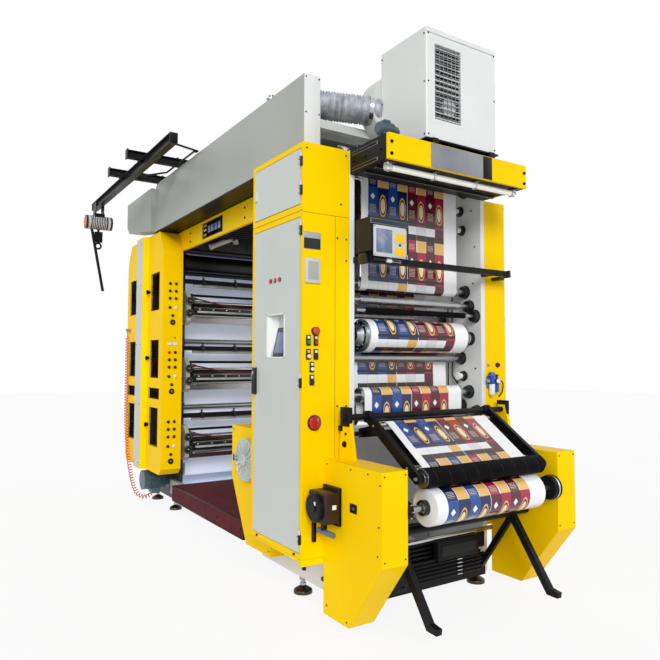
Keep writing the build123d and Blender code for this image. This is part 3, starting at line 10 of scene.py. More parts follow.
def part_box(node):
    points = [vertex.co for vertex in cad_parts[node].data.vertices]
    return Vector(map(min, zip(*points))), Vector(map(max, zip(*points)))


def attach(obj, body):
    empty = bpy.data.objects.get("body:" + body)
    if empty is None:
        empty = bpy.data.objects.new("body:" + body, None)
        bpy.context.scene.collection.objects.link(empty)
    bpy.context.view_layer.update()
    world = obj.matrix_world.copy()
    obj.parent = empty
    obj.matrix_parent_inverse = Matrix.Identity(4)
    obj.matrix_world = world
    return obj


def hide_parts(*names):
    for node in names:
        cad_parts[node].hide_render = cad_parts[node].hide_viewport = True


bl_info = {
    "name": "Flexographic press finishes",
    "version": (1, 0, 0),
    "blender": (4, 5, 0),
    "location": "View3D > Sidebar > Press",
    "description": "Dresses the printing press with its paint, film, fittings and studio",
    "category": "Object",
}

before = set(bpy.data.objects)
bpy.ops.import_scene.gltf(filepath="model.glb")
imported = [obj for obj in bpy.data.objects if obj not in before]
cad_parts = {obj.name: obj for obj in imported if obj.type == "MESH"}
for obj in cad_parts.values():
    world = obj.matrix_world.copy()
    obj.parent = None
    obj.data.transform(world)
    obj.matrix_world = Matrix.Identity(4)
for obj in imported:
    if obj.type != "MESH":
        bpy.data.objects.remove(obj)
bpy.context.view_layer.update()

MM = 0.001
plate_low, plate_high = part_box("tower_side_plates")
CENTRE_X = (plate_low[0] + plate_high[0]) / 2
TOWER_FRONT_Y = plate_low[1]
FRONT = Vector((0, -1, 0))
LEFT = Vector((-1, 0, 0))
RIGHT = Vector((1, 0, 0))
UP = Vector((0, 0, 1))
# Places of the press in millimetres, as y or as (y, z)
DECK_HEIGHTS = (776, 1521, 2266)
WINDOW_HEIGHTS = (950, 1695, 2440)
FRONT_ANILOX_Y = 3344.88
PRINT_TOWER_MIDDLE_Y = 3928
DRUM_AXIS = (115, 1850)
PRESS_ARM_AXIS = (-90, 1315)
RUBBER_ROLLER_AXIS = (-576, 989.96)
WINDING_AXIS = (-555, 815)
FORK_AXIS = (-330, 620)
UNWIND_AXIS = (1072, 911)
HOIST_DRUM_AXIS = (4629, 3373)
# The film's width in metres, and its left margin and one of its lanes as shares of the width
FILM_WIDTH = 0.9
FILM_LEFT = 56 / 900
FILM_LANE = 89 / 900


def at(x, y, z):
    """A point of the press in millimetres from the film's centre line and the tower's front."""
    return Vector((CENTRE_X + x * MM, TOWER_FRONT_Y + y * MM, z * MM))


def srgb(code):
    """An sRGB hex colour as linear red, green, blue and alpha."""
    channels = [int(code[i:i + 2], 16) / 255 for i in (1, 3, 5)]
    return tuple(c / 12.92 if c <= 0.04045 else ((c + 0.055) / 1.055) ** 2.4 for c in channels) + (1.0,)


def linear(colour):
    """A colour as linear RGBA, from a hex code or from one of the panel's colours."""
    return srgb(colour) if isinstance(colour, str) else tuple(colour)[:3] + (1.0,)


def add_node(tree, kind, inputs=None, stops=(), **settings):
    """Adds a node, sets its properties, sets or links its inputs, and fills a ramp's stops."""
    node = tree.nodes.new(kind)
    for i, (place, colour) in enumerate(stops):
        if i < 2:
            stop = node.color_ramp.elements[i]
            stop.position = place
        else:
            stop = node.color_ramp.elements.new(place)
        stop.color = linear(colour)
    if stops:
        node.color_ramp.interpolation = "CONSTANT"
    for key, value in settings.items():
        setattr(node, key, value)
    for key, value in (inputs or {}).items():
        if isinstance(value, bpy.types.NodeSocket):
            tree.links.new(value, node.inputs[key])
        else:
            node.inputs[key].default_value = value
    return node


def new_material(name):
    """An empty material with its output and surface shader."""
    material = bpy.data.materials.new(name)
    material.use_nodes = True
    tree = material.node_tree
    tree.nodes.clear()
    output = add_node(tree, "ShaderNodeOutputMaterial")
    shader = add_node(tree, "ShaderNodeBsdfPrincipled")
    tree.links.new(shader.outputs[0], output.inputs[0])
    return material, tree, shader


def object_point(tree, stretch=(1, 1, 1)):
    """The place on the press in metres, stretched for a directional finish."""
    coordinates = add_node(tree, "ShaderNodeTexCoord")
    mapping = add_node(tree, "ShaderNodeMapping", {"Vector": coordinates.outputs["Object"],
                                                   "Scale": stretch})
    return mapping.outputs[0]


def mottle(tree, colour, shade, point, size_mm, low=0.4, high=0.7):
    """A base colour that drifts towards a second one in soft patches of a real size."""
    noise = add_node(tree, "ShaderNodeTexNoise", {"Vector": point, "Scale": 1 / (size_mm * MM),
                                                  "Detail": 4.0})
    ramp = add_node(tree, "ShaderNodeMapRange", {0: noise.outputs[0], 1: low, 2: high})
    mix = add_node(tree, "ShaderNodeMix", {0: ramp.outputs[0], 6: linear(colour), 7: linear(shade)},
                   data_type="RGBA")
    return mix.outputs[2]


def edge_normal(tree, radius_mm, height=None, strength=0.2, distance_mm=1.0):
    """Normals rounded over the sheet edges, with an optional relief on top."""
    bevel = add_node(tree, "ShaderNodeBevel", {"Radius": radius_mm * MM}, samples=4)
    if height is None:
        return bevel.outputs[0]
    bump = add_node(tree, "ShaderNodeBump", {"Height": height, "Strength": strength,
                                             "Distance": distance_mm * MM, "Normal": bevel.outputs[0]})
    return bump.outputs[0]


def surface(name, colour, shade, patch_mm, grain_mm, detail, rough=None, drift=(0.4, 0.7),
            stretch=(1, 1, 1), relief=None, sockets=None):
    """A finish with a drifting base colour and a grain. The grain spreads the roughness over rough
    and raises the relief, which is edge radius, strength and height."""
    material, tree, shader = new_material(name)
    grain = add_node(tree, "ShaderNodeTexNoise", {"Vector": object_point(tree, stretch),
                                                  "Scale": 1 / (grain_mm * MM), "Detail": detail})
    tint = mottle(tree, colour, shade, object_point(tree), patch_mm, *drift)
    tree.links.new(tint, shader.inputs["Base Color"])
    if rough:
        spread = add_node(tree, "ShaderNodeMapRange", {0: grain.outputs[0], 3: rough[0], 4: rough[1]})
        tree.links.new(spread.outputs[0], shader.inputs["Roughness"])
    if relief:
        edge_mm, strength, height_mm = relief
        normal = edge_normal(tree, edge_mm, grain.outputs[0], strength, height_mm)
        tree.links.new(normal, shader.inputs["Normal"])
    for socket, value in (sockets or {}).items():
        shader.inputs[socket].default_value = value
    return material


def powder_coat(name, colour, shade, roughness=0.38, coat=0.1, edge_mm=4.0, sheen=0.5):
    """Powder-coated sheet steel: sprayed dry and baked, which leaves a faint orange peel.
    The real peel is about 2 mm across; here it is 14 mm, so that it shows at all."""
    surface(name, colour, shade, 900, 14, 2.0, (roughness - 0.06, roughness + 0.08), (0.35, 0.75),
            relief=(edge_mm, 0.08, 1.0),
            sockets={"Specular IOR Level": sheen, "Coat Weight": coat, "Coat Roughness": 0.2})


def turned_metal(name, colour, shade, roughness, ring_mm=3.0, depth=0.15, metallic=1.0):
    """Metal ground between centres: fine rings run round each roller.
    The real rings are under 0.5 mm; they are drawn coarser so that they show."""
    surface(name, colour, shade, 300, ring_mm, 3.0, (roughness * 0.7, roughness * 1.5), (0.3, 0.8),
            (1, 0.03, 0.03), (2.0, depth, 0.5), {"Metallic": metallic})


def rough_cover(name, colour, shade, grain_mm, roughness, relief=0.4, sheen=0.5):
    """Matt surfaces with a visible grain, such as rubber, cast iron or gritty deck paint."""
    surface(name, colour, shade, grain_mm * 12, grain_mm, 6.0, (roughness - 0.1, roughness + 0.1),
            relief=(3.0, relief, 1.0), sockets={"Specular IOR Level": sheen})


def smooth_plastic(name, colour, roughness=0.3, wear="#808080"):
    """Moulded plastic or enamel with slight handling marks."""
    return surface(name, colour, wear, 60, 25 / 3, 3.0, (roughness, roughness + 0.15), (0.6, 1.4),
                   relief=(1.5, 0.05, 1.0))


def tinted_pane(name, colour):
    """Smoked acrylic: nearly black, with faint cleaning smears and no mirror of the white studio."""
    surface(name, colour, "#2A2626", 250, 1000 / 9, 5.0, (0.06, 0.3), stretch=(1, 1, 0.3),
            sockets={"Specular IOR Level": 0.0})


def shiny_foil(name, colour, shade):
    """Foil duct wrapped round a wire: soft metallic folds a finger apart."""
    surface(name, colour, shade, 60, 22, 5.0, drift=(0.35, 0.65), relief=(3.0, 0.5, 2.0),
            sockets={"Metallic": 0.35, "Roughness": 0.42})


def glowing(name, colour, strength):
    """An opal tube, a screen or an indicator lens that gives a little light of its own."""
    _, tree, shader = new_material(name)
    tint = mottle(tree, colour, "#E8E4DC", object_point(tree), 120, 0.5, 1.2)
    tree.links.new(tint, shader.inputs["Base Color"])
    tree.links.new(tint, shader.inputs["Emission Color"])
    shader.inputs["Emission Strength"].default_value = strength
    shader.inputs["Roughness"].default_value = 0.25


# The print's maths, each row a name, an operation and its values: u is across the film and v
# along it. Part is the place within one print, lane the place in lanes from the left edge.
PRINT_MATHS = (
    ("across", "DIVIDE", "u", FILM_WIDTH), ("along", "DIVIDE", "v", "repeat"),
    ("part", "FRACT", "along"), ("low", "LESS_THAN", "part", 0.30), ("thin", "LESS_THAN", "part", 0.10),
    ("high", "GREATER_THAN", "part", 0.86), ("from_left", "SUBTRACT", "across", FILM_LEFT),
    ("lane", "DIVIDE", "from_left", FILM_LANE), ("spot", "FRACT", "lane"),
    ("pair", "MODULO", "lane", 2.0), ("even", "GREATER_THAN", "pair", 1.0),
    ("odd", "SUBTRACT", 1.0, "even"), ("before_right", "LESS_THAN", "across", FILM_LEFT + FILM_LANE * 8),
    ("after_left", "GREATER_THAN", "across", FILM_LEFT),
    ("inside", "MULTIPLY", "before_right", "after_left"),
    # Ovals in the even lanes, one within the other
    ("east", "SUBTRACT", "spot", 0.5), ("north", "SUBTRACT", "part", 0.6),
    ("east_square", "POWER", "east", 2.0), ("north_square", "POWER", "north", 2.0),
    ("wide", "MULTIPLY", "east_square", 8.0), ("oval", "MULTIPLY_ADD", "north_square", 28.0, "wide"),
    ("medallion", "LESS_THAN", "oval", 1.0), ("ring", "LESS_THAN", "oval", 0.72),
    ("core", "LESS_THAN", "oval", 0.42),
    # A diamond and rows of lines in the odd lanes, and a bar near each print's end
    ("lean", "ABSOLUTE", "east"), ("rise", "SUBTRACT", "part", 0.46), ("climb", "ABSOLUTE", "rise"),
    ("slant", "MULTIPLY_ADD", "climb", 4.0, "lean"), ("diamond", "LESS_THAN", "slant", 0.22),
    ("row_count", "MULTIPLY", "part", 42.0), ("row", "FRACT", "row_count"),
    ("rows", "LESS_THAN", "row", 0.38),
    ("upper_block", "COMPARE", "part", 0.66, 0.075), ("lower_block", "COMPARE", "part", 0.215, 0.05),
    ("blocks", "MAXIMUM", "upper_block", "lower_block"), ("narrow", "LESS_THAN", "lean", 0.31),
    ("foot", "COMPARE", "part", 0.80, 0.022), ("printed", "GREATER_THAN", "v", 0.0),
)


def printed_film(name, colours, repeat_mm):
    """Gloss film with a generic wrapper design: two halves of four lanes, white margins and a
    white middle line. Its map's u is across the film and v along it, both in metres."""
    _, tree, shader = new_material(name)
    place = add_node(tree, "ShaderNodeUVMap", uv_map="film")
    axes = add_node(tree, "ShaderNodeSeparateXYZ", {0: place.outputs[0]})
    made = {"u": axes.outputs[0], "v": axes.outputs[1], "repeat": repeat_mm * MM}
    for result, operation, *values in PRINT_MATHS:
        inputs = {i: made.get(value, value) for i, value in enumerate(values)}
        made[result] = add_node(tree, "ShaderNodeMath", inputs, operation=operation).outputs[0]
    white, dark, brown, silver = "#F4F5F7", "#1C1216", "#3A1C12", "#E9ECEF"
    navy, blue, gold = colours.navy, colours.blue, colours.gold
    crimson, maroon = colours.crimson, colours.maroon
    ramps = []
    for left, right, gap in (
            ((blue, navy, blue, navy), (maroon, crimson, maroon, crimson), dark),
            ((navy, gold, blue, gold), (crimson, gold, maroon, gold), white),
            ((dark, brown, dark, brown), (dark, brown, dark, brown), "#8A5A2A"),
            ((silver, silver, silver, gold), (silver, "#D8DCE2", silver, maroon), "#C9CED6")):
        stops = [(0.0, white)]
        for i, tint in enumerate(left + right):
            # A thin gap after each lane, and a wider white one between the halves
            end, after = (0.004, white) if i == 3 else (0.002, gap)
            stops.append((FILM_LEFT + FILM_LANE * i + 0.002, tint))
            stops.append((FILM_LEFT + FILM_LANE * (i + 1) - end, after))
        stops[-1] = (FILM_LEFT + FILM_LANE * 8, white)
        ramps.append(add_node(tree, "ShaderNodeValToRGB", {0: made["across"]}, stops=stops).outputs[0])
    colour, blocks, bands, labels = ramps
    for top, first, *masks in (
            (blocks, "low"), (bands, "thin"), (labels, "high"),
            (linear(gold), "medallion", "even", "inside"), (linear("#5A2A18"), "ring", "even", "inside"),
            (linear("#F3DDB0"), "core", "even", "inside"), (linear(white), "diamond", "odd", "inside"),
            (linear("#C9B59A"), "rows", "blocks", "narrow", "odd", "inside"),
            (linear(dark), "foot", "inside")):
        mask = made[first]
        for other in masks:
            both = add_node(tree, "ShaderNodeMath", {0: mask, 1: made[other]}, operation="MULTIPLY")
            mask = both.outputs[0]
        mix = add_node(tree, "ShaderNodeMix", {0: mask, 6: colour, 7: top}, data_type="RGBA")
        colour = mix.outputs[2]
    # Painted glow: the unprinted film gives off a pale blue emission that stands in for the hall's light
    # coming through it from behind; the printed film gives off none
    for socket, clear, inked in (("Base Color", "#DDE1EC", colour),
                                 ("Emission Color", "#C4D2EA", linear("#000000"))):
        mix = add_node(tree, "ShaderNodeMix", {0: made["printed"], 6: linear(clear), 7: inked},
                       data_type="RGBA")
        tree.links.new(mix.outputs[2], shader.inputs[socket])
    ripple = add_node(tree, "ShaderNodeTexNoise", {"Vector": object_point(tree, (1, 0.2, 0.2)),
                                                   "Scale": 14.0, "Detail": 3.0})
    bump = add_node(tree, "ShaderNodeBump", {"Height": ripple.outputs[0], "Strength": 0.12,
                                             "Distance": 0.003})
    tree.links.new(bump.outputs[0], shader.inputs["Normal"])
    # Emission Strength is the strength of the unprinted film's painted glow
    for socket, value in (("Emission Strength", 0.3), ("Roughness", 0.2), ("Coat Weight", 0.3)):
        shader.inputs[socket].default_value = value


def around(centre, radius, count, first=0):
    """Points spaced evenly on a circle about a (y, z) or (x, z) centre, from an angle in degrees."""
    for k in range(count):
        angle = math.radians(360 / count * k + first)
        yield centre[0] + radius * math.cos(angle), centre[1] + radius * math.sin(angle)


def turned(bm, start, direction, profile, material=0, segments=28):
    """Adds a turned solid. The profile's pairs are the distance along its axis and the radius,
    in millimetres."""
    axis = direction.normalized()
    side = axis.orthogonal().normalized()
    other = axis.cross(side)
    rings = []
    for along, radius in profile:
        centre = start + axis * (along * MM)
        if radius < 0.01:
            rings.append([bm.verts.new(centre)])
            continue
        angles = [2 * math.pi * k / segments for k in range(segments)]
        rings.append([bm.verts.new(centre + (side * math.cos(a) + other * math.sin(a)) * (radius * MM))
                      for a in angles])
    faces = []
    for low, high in zip(rings, rings[1:]):
        for k in range(segments):
            n = (k + 1) % segments
            if len(low) == 1:
                faces.append(bm.faces.new((low[0], high[n], high[k])))
            elif len(high) == 1:
                faces.append(bm.faces.new((low[k], low[n], high[0])))
            else:
                faces.append(bm.faces.new((low[k], low[n], high[n], high[k])))
    for ring in (rings[0], rings[-1]):
        if len(ring) > 1:
            faces.append(bm.faces.new(ring))
    for face in faces:
        face.material_index = material
    return faces


def slab(bm, low, high, edge=2.0, material=0, tilt=None):
    """Adds a plate or box with rounded edges between two corners, in millimetres."""
    size = [abs(b - a) for a, b in zip(low, high)]
    centre = at(*[(a + b) / 2 for a, b in zip(low, high)])
    verts = bmesh.ops.create_cube(bm, size=1.0)["verts"]
    place = Matrix.Translation(centre) @ (tilt or Matrix.Identity(4)) @ Matrix.Diagonal(
        (size[0] * MM, size[1] * MM, size[2] * MM, 1.0))
    bmesh.ops.transform(bm, matrix=place, verts=verts)
    faces = dict.fromkeys(face for vert in verts for face in vert.link_faces)
    for face in faces:
        face.material_index = material
    edges = list(dict.fromkeys(side for face in faces for side in face.edges))
    offset = min(edge, min(size) * 0.45) * MM
    bmesh.ops.bevel(bm, geom=edges, offset=offset, segments=2, profile=0.5, affect="EDGES")


def hex_bolt(bm, place, direction, across_mm=17, material=0):
    """Adds a hexagon bolt head on its washer."""
    turned(bm, place, direction, [(0, across_mm * 0.62), (2, across_mm * 0.62), (2.2, across_mm * 0.3)],
           material, 20)
    turned(bm, place, direction, [(1.8, across_mm * 0.54), (across_mm * 0.55, across_mm * 0.54),
                                  (across_mm * 0.62, across_mm * 0.44)], material, 6)


def socket_screw(bm, place, direction, radius_mm=5, material=0):
    """Adds a cap screw with the hollow in its head."""
    r = radius_mm
    turned(bm, place, direction, [(0, r * 1.05), (r * 0.9, r), (r * 1.1, r * 0.85), (r * 1.1, r * 0.5),
                                  (r * 0.5, r * 0.45), (r * 0.5, 0)], material, 16)


def strip(bm, points, radius_mm, material=0, segments=12):
    """Adds a round bar that follows a line of points, in millimetres, with mitred corners."""
    places = [at(*point) for point in points]
    rings = []
    side = None
    for i, place in enumerate(places):
        before = (place - places[i - 1]).normalized() if i else None
        after = (places[i + 1] - place).normalized() if i + 1 < len(places) else None
        axis = ((before or after) + (after or before)).normalized()
        side = (side - axis * side.dot(axis) if side else axis.orthogonal()).normalized()
        other = axis.cross(side)
        rings.append([bm.verts.new(place + (side * math.cos(a) + other * math.sin(a)) * (radius_mm * MM))
                      for a in [2 * math.pi * k / segments for k in range(segments)]])
    for low, high in zip(rings, rings[1:]):
        for k in range(segments):
            n = (k + 1) % segments
            bm.faces.new((low[k], low[n], high[n], high[k])).material_index = material
    for ring in (rings[0], rings[-1]):
        bm.faces.new(ring).material_index = material


# Edges sharper than this many degrees stay crisp when the faces are shaded smooth
SMOOTH_ANGLE = 38


def finish_piece(name, bm, finishes, body="press_frame"):
    """Turns the mesh into an object with its finishes that rides on a body."""
    bmesh.ops.recalc_face_normals(bm, faces=bm.faces)
    mesh = bpy.data.meshes.new(name)
    for face in bm.faces:
        face.smooth = True
    bm.to_mesh(mesh)
    bm.free()
    mesh.set_sharp_from_angle(angle=math.radians(SMOOTH_ANGLE))
    for finish in finishes:
        mesh.materials.append(bpy.data.materials[finish])
    piece = bpy.data.objects.new(name, mesh)
    bpy.context.scene.collection.objects.link(piece)
    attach(piece, body)
    return piece


def paint(name, code, description):
    """A colour that the panel offers, from its sRGB hex code."""
    return bpy.props.FloatVectorProperty(name=name, description=description, subtype="COLOR",
                                         default=srgb(code)[:3], min=0, max=1)


def millimetres(name, default, low, high, description):
    """A length that the panel offers in millimetres."""
    return bpy.props.FloatProperty(name=name, description=description + ", in millimetres",
                                   default=default, min=low, max=high)


class PressColours(bpy.types.PropertyGroup):
    """Paints and inks that a user would change."""
    yellow: paint("Machine yellow", "#FFD600", "Powder coat of the covers")
    grey: paint("Panel grey", "#CBD0CC", "Powder coat of doors and plenums")
    black: paint("Frame black", "#0C0C0E", "Paint of arms and beams")
    deck_red: paint("Deck red", "#5A1E24", "Anti-slip paint of the platform")
    navy: paint("Navy ink", "#0E1F5A", "Darker ink of the left half")
    blue: paint("Blue ink", "#1C4A92", "Brighter ink of the left half")
    crimson: paint("Crimson ink", "#A3183F", "Brighter ink of the right half")
    maroon: paint("Maroon ink", "#5A1226", "Darker ink of the right half")
    gold: paint("Gold ink", "#E3B566", "Light blocks and medallions")


class PressSizes(bpy.types.PropertyGroup):
    """Sizes of the small fittings that a user would change."""
    repeat: millimetres("Print repeat", 430.0, 100, 1200, "Length of one print")
    handwheel: millimetres("Handwheel", 39.0, 20, 60, "Radius of the deck handwheels")
    gasket: millimetres("Window gasket", 9.0, 4, 20, "Width of the window gaskets")
    edge: bpy.props.FloatProperty(name="Sheet edge", description="Rounding of folded sheet edges",
                                  default=0.004, min=0.001, max=0.01, subtype="DISTANCE", unit="LENGTH")


# The camera that the photo's own lines gave, with its place in millimetres and its axes
CAMERA_LENS_MM = 34.31
CAMERA_SENSOR_MM = 36.0
CAMERA_REACH_M = 60.0
CAMERA_PLACE = (-2973.5, -3392.5, 1670.1)
CAMERA_AXES = ((0.83980, -0.54288, 0.00258), (-0.02933, -0.04064, 0.99873),
               (-0.54209, -0.83882, -0.05005))


class PRESS_OT_camera(bpy.types.Operator):
    """Places the camera at eye height off the operator's front corner"""
    bl_idname = "press.camera"
    bl_label = "Camera"

    def execute(self, context):
        camera = bpy.data.cameras.new("camera")
        camera.lens = CAMERA_LENS_MM
        camera.sensor_width = CAMERA_SENSOR_MM
        camera.clip_end = CAMERA_REACH_M
        holder = bpy.data.objects.new("camera", camera)
        turn = Matrix(CAMERA_AXES).transposed().to_4x4()
        holder.matrix_world = Matrix.Translation(at(*CAMERA_PLACE)) @ turn
        context.scene.collection.objects.link(holder)
        context.scene.camera = holder
        return {"FINISHED"}


class PRESS_OT_hoses(bpy.types.Operator):
    """Makes the spiral air hose and the ink hoses of the front decks"""
    bl_idname = "press.hoses"
    bl_label = "Hoses"

    def execute(self, context):
        rubber = smooth_plastic("orange_polyurethane", "#E23018", 0.28, "#A82410")
        red = smooth_plastic("red_ink_tube", "#5E1018", 0.3, "#3A0A10")
        y = FRONT_ANILOX_Y
        for z, height in zip(DECK_HEIGHTS, ("lower", "middle", "upper")):
            route = [(-488, y - 55, z + 98), (-430, y - 55, z + 98), (-330, y - 72, z + 78),
                     (-190, y - 84, z + 46), (-20, y - 85, z + 20), (150, y - 84, z + 9),
                     (300, y - 76, z + 13), (410, y - 55, z + 26), (488, y - 55, z + 26)]
            tube, length = spline_tube(f"ink_hose_{height}_tube", [at(*p) for p in route], 0.008, red)
            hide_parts(f"ink_hose_{height}")
            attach(tube, "press_frame")
        x, y = -864.0, 4473.0
        route = [(x, y, 2030), (x, y, 1700), (x + 2, y + 12, 1330), (x - 2, y, 960), (x, y - 60, 700),
                 (x - 4, y - 150, 500), (x, y - 262, 330), (x + 8, y - 365, 190), (x + 45, y - 440, 105),
                 (x + 120, y - 470, 86), (x + 200, y - 452, 118), (-590, 4045, 190), (-590, 4045, 290)]
        line = along_spline([at(*p) for p in route])
        spiral = spiral_points(line, radius=0.020, pitch=0.034, per_turn=12)
        coil, length = spline_tube("air_hose_spiral", spiral, 0.005, rubber)
        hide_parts("air_hose")
        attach(coil, "press_frame")
        return {"FINISHED"}


def spline_tube(name, points, radius, material):
    """A smooth tube with those control points, and its length in metres."""
    curve = bpy.data.curves.new(name, "CURVE")
    curve.dimensions = "3D"
    spline = curve.splines.new("NURBS")
    spline.points.add(len(points) - 1)
    for point, place in zip(spline.points, points):
        point.co = (*place, 1.0)
    spline.order_u = 3
    spline.use_endpoint_u = True
    spline.resolution_u = 4
    length = spline.calc_length()
    curve.bevel_depth = radius
    curve.bevel_resolution = 2
    curve.use_fill_caps = True
    curve.materials.append(material)
    tube = bpy.data.objects.new(name, curve)
    bpy.context.scene.collection.objects.link(tube)
    return tube, length


def along_spline(points):
    """The points that a smooth spline through the route's control points passes."""
    tube, _ = spline_tube("route", points, 0.0, bpy.data.materials.new("route"))
    mesh = bpy.data.meshes.new_from_object(tube)
    line = [vert.co.copy() for vert in mesh.vertices]
    bpy.data.objects.remove(tube)
    bpy.data.meshes.remove(mesh)
    bpy.data.materials.remove(bpy.data.materials["route"])
    return line


def spiral_points(line, radius, pitch, per_turn):
    """Points of a spring of that radius and pitch wound round a line, with straight ends."""
    lengths = [0.0]
    for a, b in zip(line, line[1:]):
        lengths.append(lengths[-1] + (b - a).length)
    total = lengths[-1]
    lead = 0.05  # metres of straight hose at each end
    turns = round((total - 2 * lead) / pitch)
    count = turns * per_turn
    points = [line[0]]
    side = (line[1] - line[0]).orthogonal().normalized()
    segment = 0
    for i in range(count + 1):
        place = lead + (total - 2 * lead) * i / count
        while segment + 2 < len(line) and lengths[segment + 1] < place:
            segment += 1
        a, b = line[segment], line[segment + 1]
        axis = (b - a).normalized()
        centre = a + axis * (place - lengths[segment])
        side = (side - axis * side.dot(axis)).normalized()
        other = axis.cross(side)
        angle = 2 * math.pi * i / per_turn
        grow = min(1.0, i / per_turn, (count - i) / per_turn)
        points.append(centre + (side * math.cos(angle) + other * math.sin(angle)) * (radius * grow))
    return points + [line[-1]]


# The nodes that take each finish whole
NODE_FINISHES = {
    "yellow_powder_coat": ("right_column_cover", "cabinet_body", "hood_front_panel", "link_beams",
                           "print_tower_covers", "cover_posts", "winder_boxes", "unwinder_boxes"),
    "grey_powder_coat": ("lower_cabinet_door", "upper_cabinet_door", "post_panels",
                         "dryer_chambers", "blower_scroll"),
    "pale_powder_coat": ("blower_housing", "vent_grille", "tower_side_plates"),
    # The dryer side panels take the panel grey darkened, as painted shade of their side faces
    "panel_grey_with_painted_shade": ("dryer_side_panels",),
    "graphite_paint": ("print_side_plates",),
    "black_paint": ("frame_cross_members", "toe_board", "hood_frame", "dryer_rails", "deck_bars",
                    "winder_drive", "press_arms", "load_arms", "fork_struts", "inspection_rail",
                    "hoist_frame", "hoist_trolley"),
    "cast_grey_paint": ("deck_brackets", "base_rails"),
    "ground_steel": ("guide_rollers", "ink_trays", "chill_drum"),
    "dark_steel": ("web_table",),
    "cast_aluminium": ("unwind_brake",),
    "hard_chrome": ("impression_cylinders",),
    "engraved_ceramic": ("anilox_rollers",),
    "photopolymer": ("plate_cylinders",),
    "ground_rubber": ("lay_on_roller",),
    "zinc_plate": ("levelling_feet", "hose_fittings"),
    "red_deck_paint": ("walkway",),
    "smoked_acrylic": ("dark_panes",),
    "opal_tube": ("hood_lamp",),
    "red_lens": ("door_lamps",),
    "blue_motor_paint": ("main_motor", "hood_motor"),
    "duct_foil": ("flexible_duct",),
    "pale_film": ("unwind_roll", "winding_roll", "web"),
    "black_plastic": ("push_buttons",),
    "instrument_grey": ("inspection_unit",),
}


# The finishes that the panel doesn't set, by the function that makes them and its values
PLAIN_FINISHES = {
    powder_coat: (
        ("blue_motor_paint", "#3F5A62", "#2C4048", 0.35, 0.1, 3.0),
        ("instrument_grey", "#121315", "#1C1D20", 0.5, 0.0, 3.0, 0.3),
    ),
    rough_cover: (
        ("cast_grey_paint", "#A9ADAB", "#8E918F", 9, 0.55, 0.35),
        ("ground_rubber", "#070709", "#0D0D10", 5, 0.6, 0.25, 0.05),
        ("window_frame_brown", "#2E1810", "#40241A", 5, 0.6, 0.1, 0.0),
        ("drive_brown_paint", "#241712", "#33211A", 6, 0.4, 0.2, 0.35),
        ("brown_bronze_paint", "#3A2A18", "#4A3820", 6, 0.45, 0.2),
    ),
    turned_metal: (
        ("ground_steel", "#B9BBBD", "#9A9C9F", 0.28, 4.0),
        ("hard_chrome", "#D5D7DA", "#BFC2C6", 0.12, 6.0, 0.05),
        ("zinc_plate", "#AEB1B3", "#8C8F92", 0.38, 3.0),
        ("engraved_ceramic", "#242428", "#1A1A1D", 0.4, 3.0, 0.2, 0.2),
        ("photopolymer", "#261815", "#181012", 0.3, 20.0, 0.1, 0.0),
        ("cast_aluminium", "#C9D2CC", "#A9B4AE", 0.5, 8.0, 0.1, 0.2),
        ("dark_steel", "#3A3B3E", "#26272A", 0.35, 3.0, 0.1),
        ("bright_steel", "#C9CBCE", "#A8ABAF", 0.2, 3.0, 0.1),
        ("bare_zinc_plate", "#8F9398", "#777B80", 0.45, 9.0, 0.1, 0.6),
        ("foot_bronze", "#5A5248", "#3A342C", 0.28, 4.0, 0.1),
    ),
    smooth_plastic: (
        ("black_plastic", "#0E0E0F", 0.3, "#26262A"),
        ("navy_plastic", "#141C30", 0.35, "#26304A"),
        ("grip_grey_blue", "#5C6C78", 0.4, "#46545E"),
        ("panel_bezel_grey", "#C6C9CC", 0.4, "#A8ACB0"),
        ("stop_button_red", "#D23A12", 0.3, "#9A2A10"),
        ("seam_shadow", "#8A6C08", 0.6, "#5E4A08"),
        ("deep_shadow_paint", "#060606", 0.7, "#101010"),
        ("white_plastic", "#E9EAEA", 0.35, "#C9CBCC"),
        ("red_plastic", "#C81E16", 0.25, "#8E140E"),
        ("green_plastic", "#1F8A3C", 0.25, "#146029"),
        ("yellow_plastic", "#F2C21A", 0.3, "#B98F10"),
        ("orange_plastic", "#E8792A", 0.35, "#B3561A"),
        ("pale_film", "#EEF0F4", 0.25, "#DADDE6"),
        ("blue_plastic", "#1E4FA8", 0.25, "#163A7C"),
    ),
    glowing: (
        ("screen_dusk", "#5A6A8C", 0.15),
        ("screen_grey", "#A6AAA2", 0.05),
        ("opal_tube", "#F0EFEA", 0.2),
        ("red_lens", "#C62020", 0.15),
    ),
}


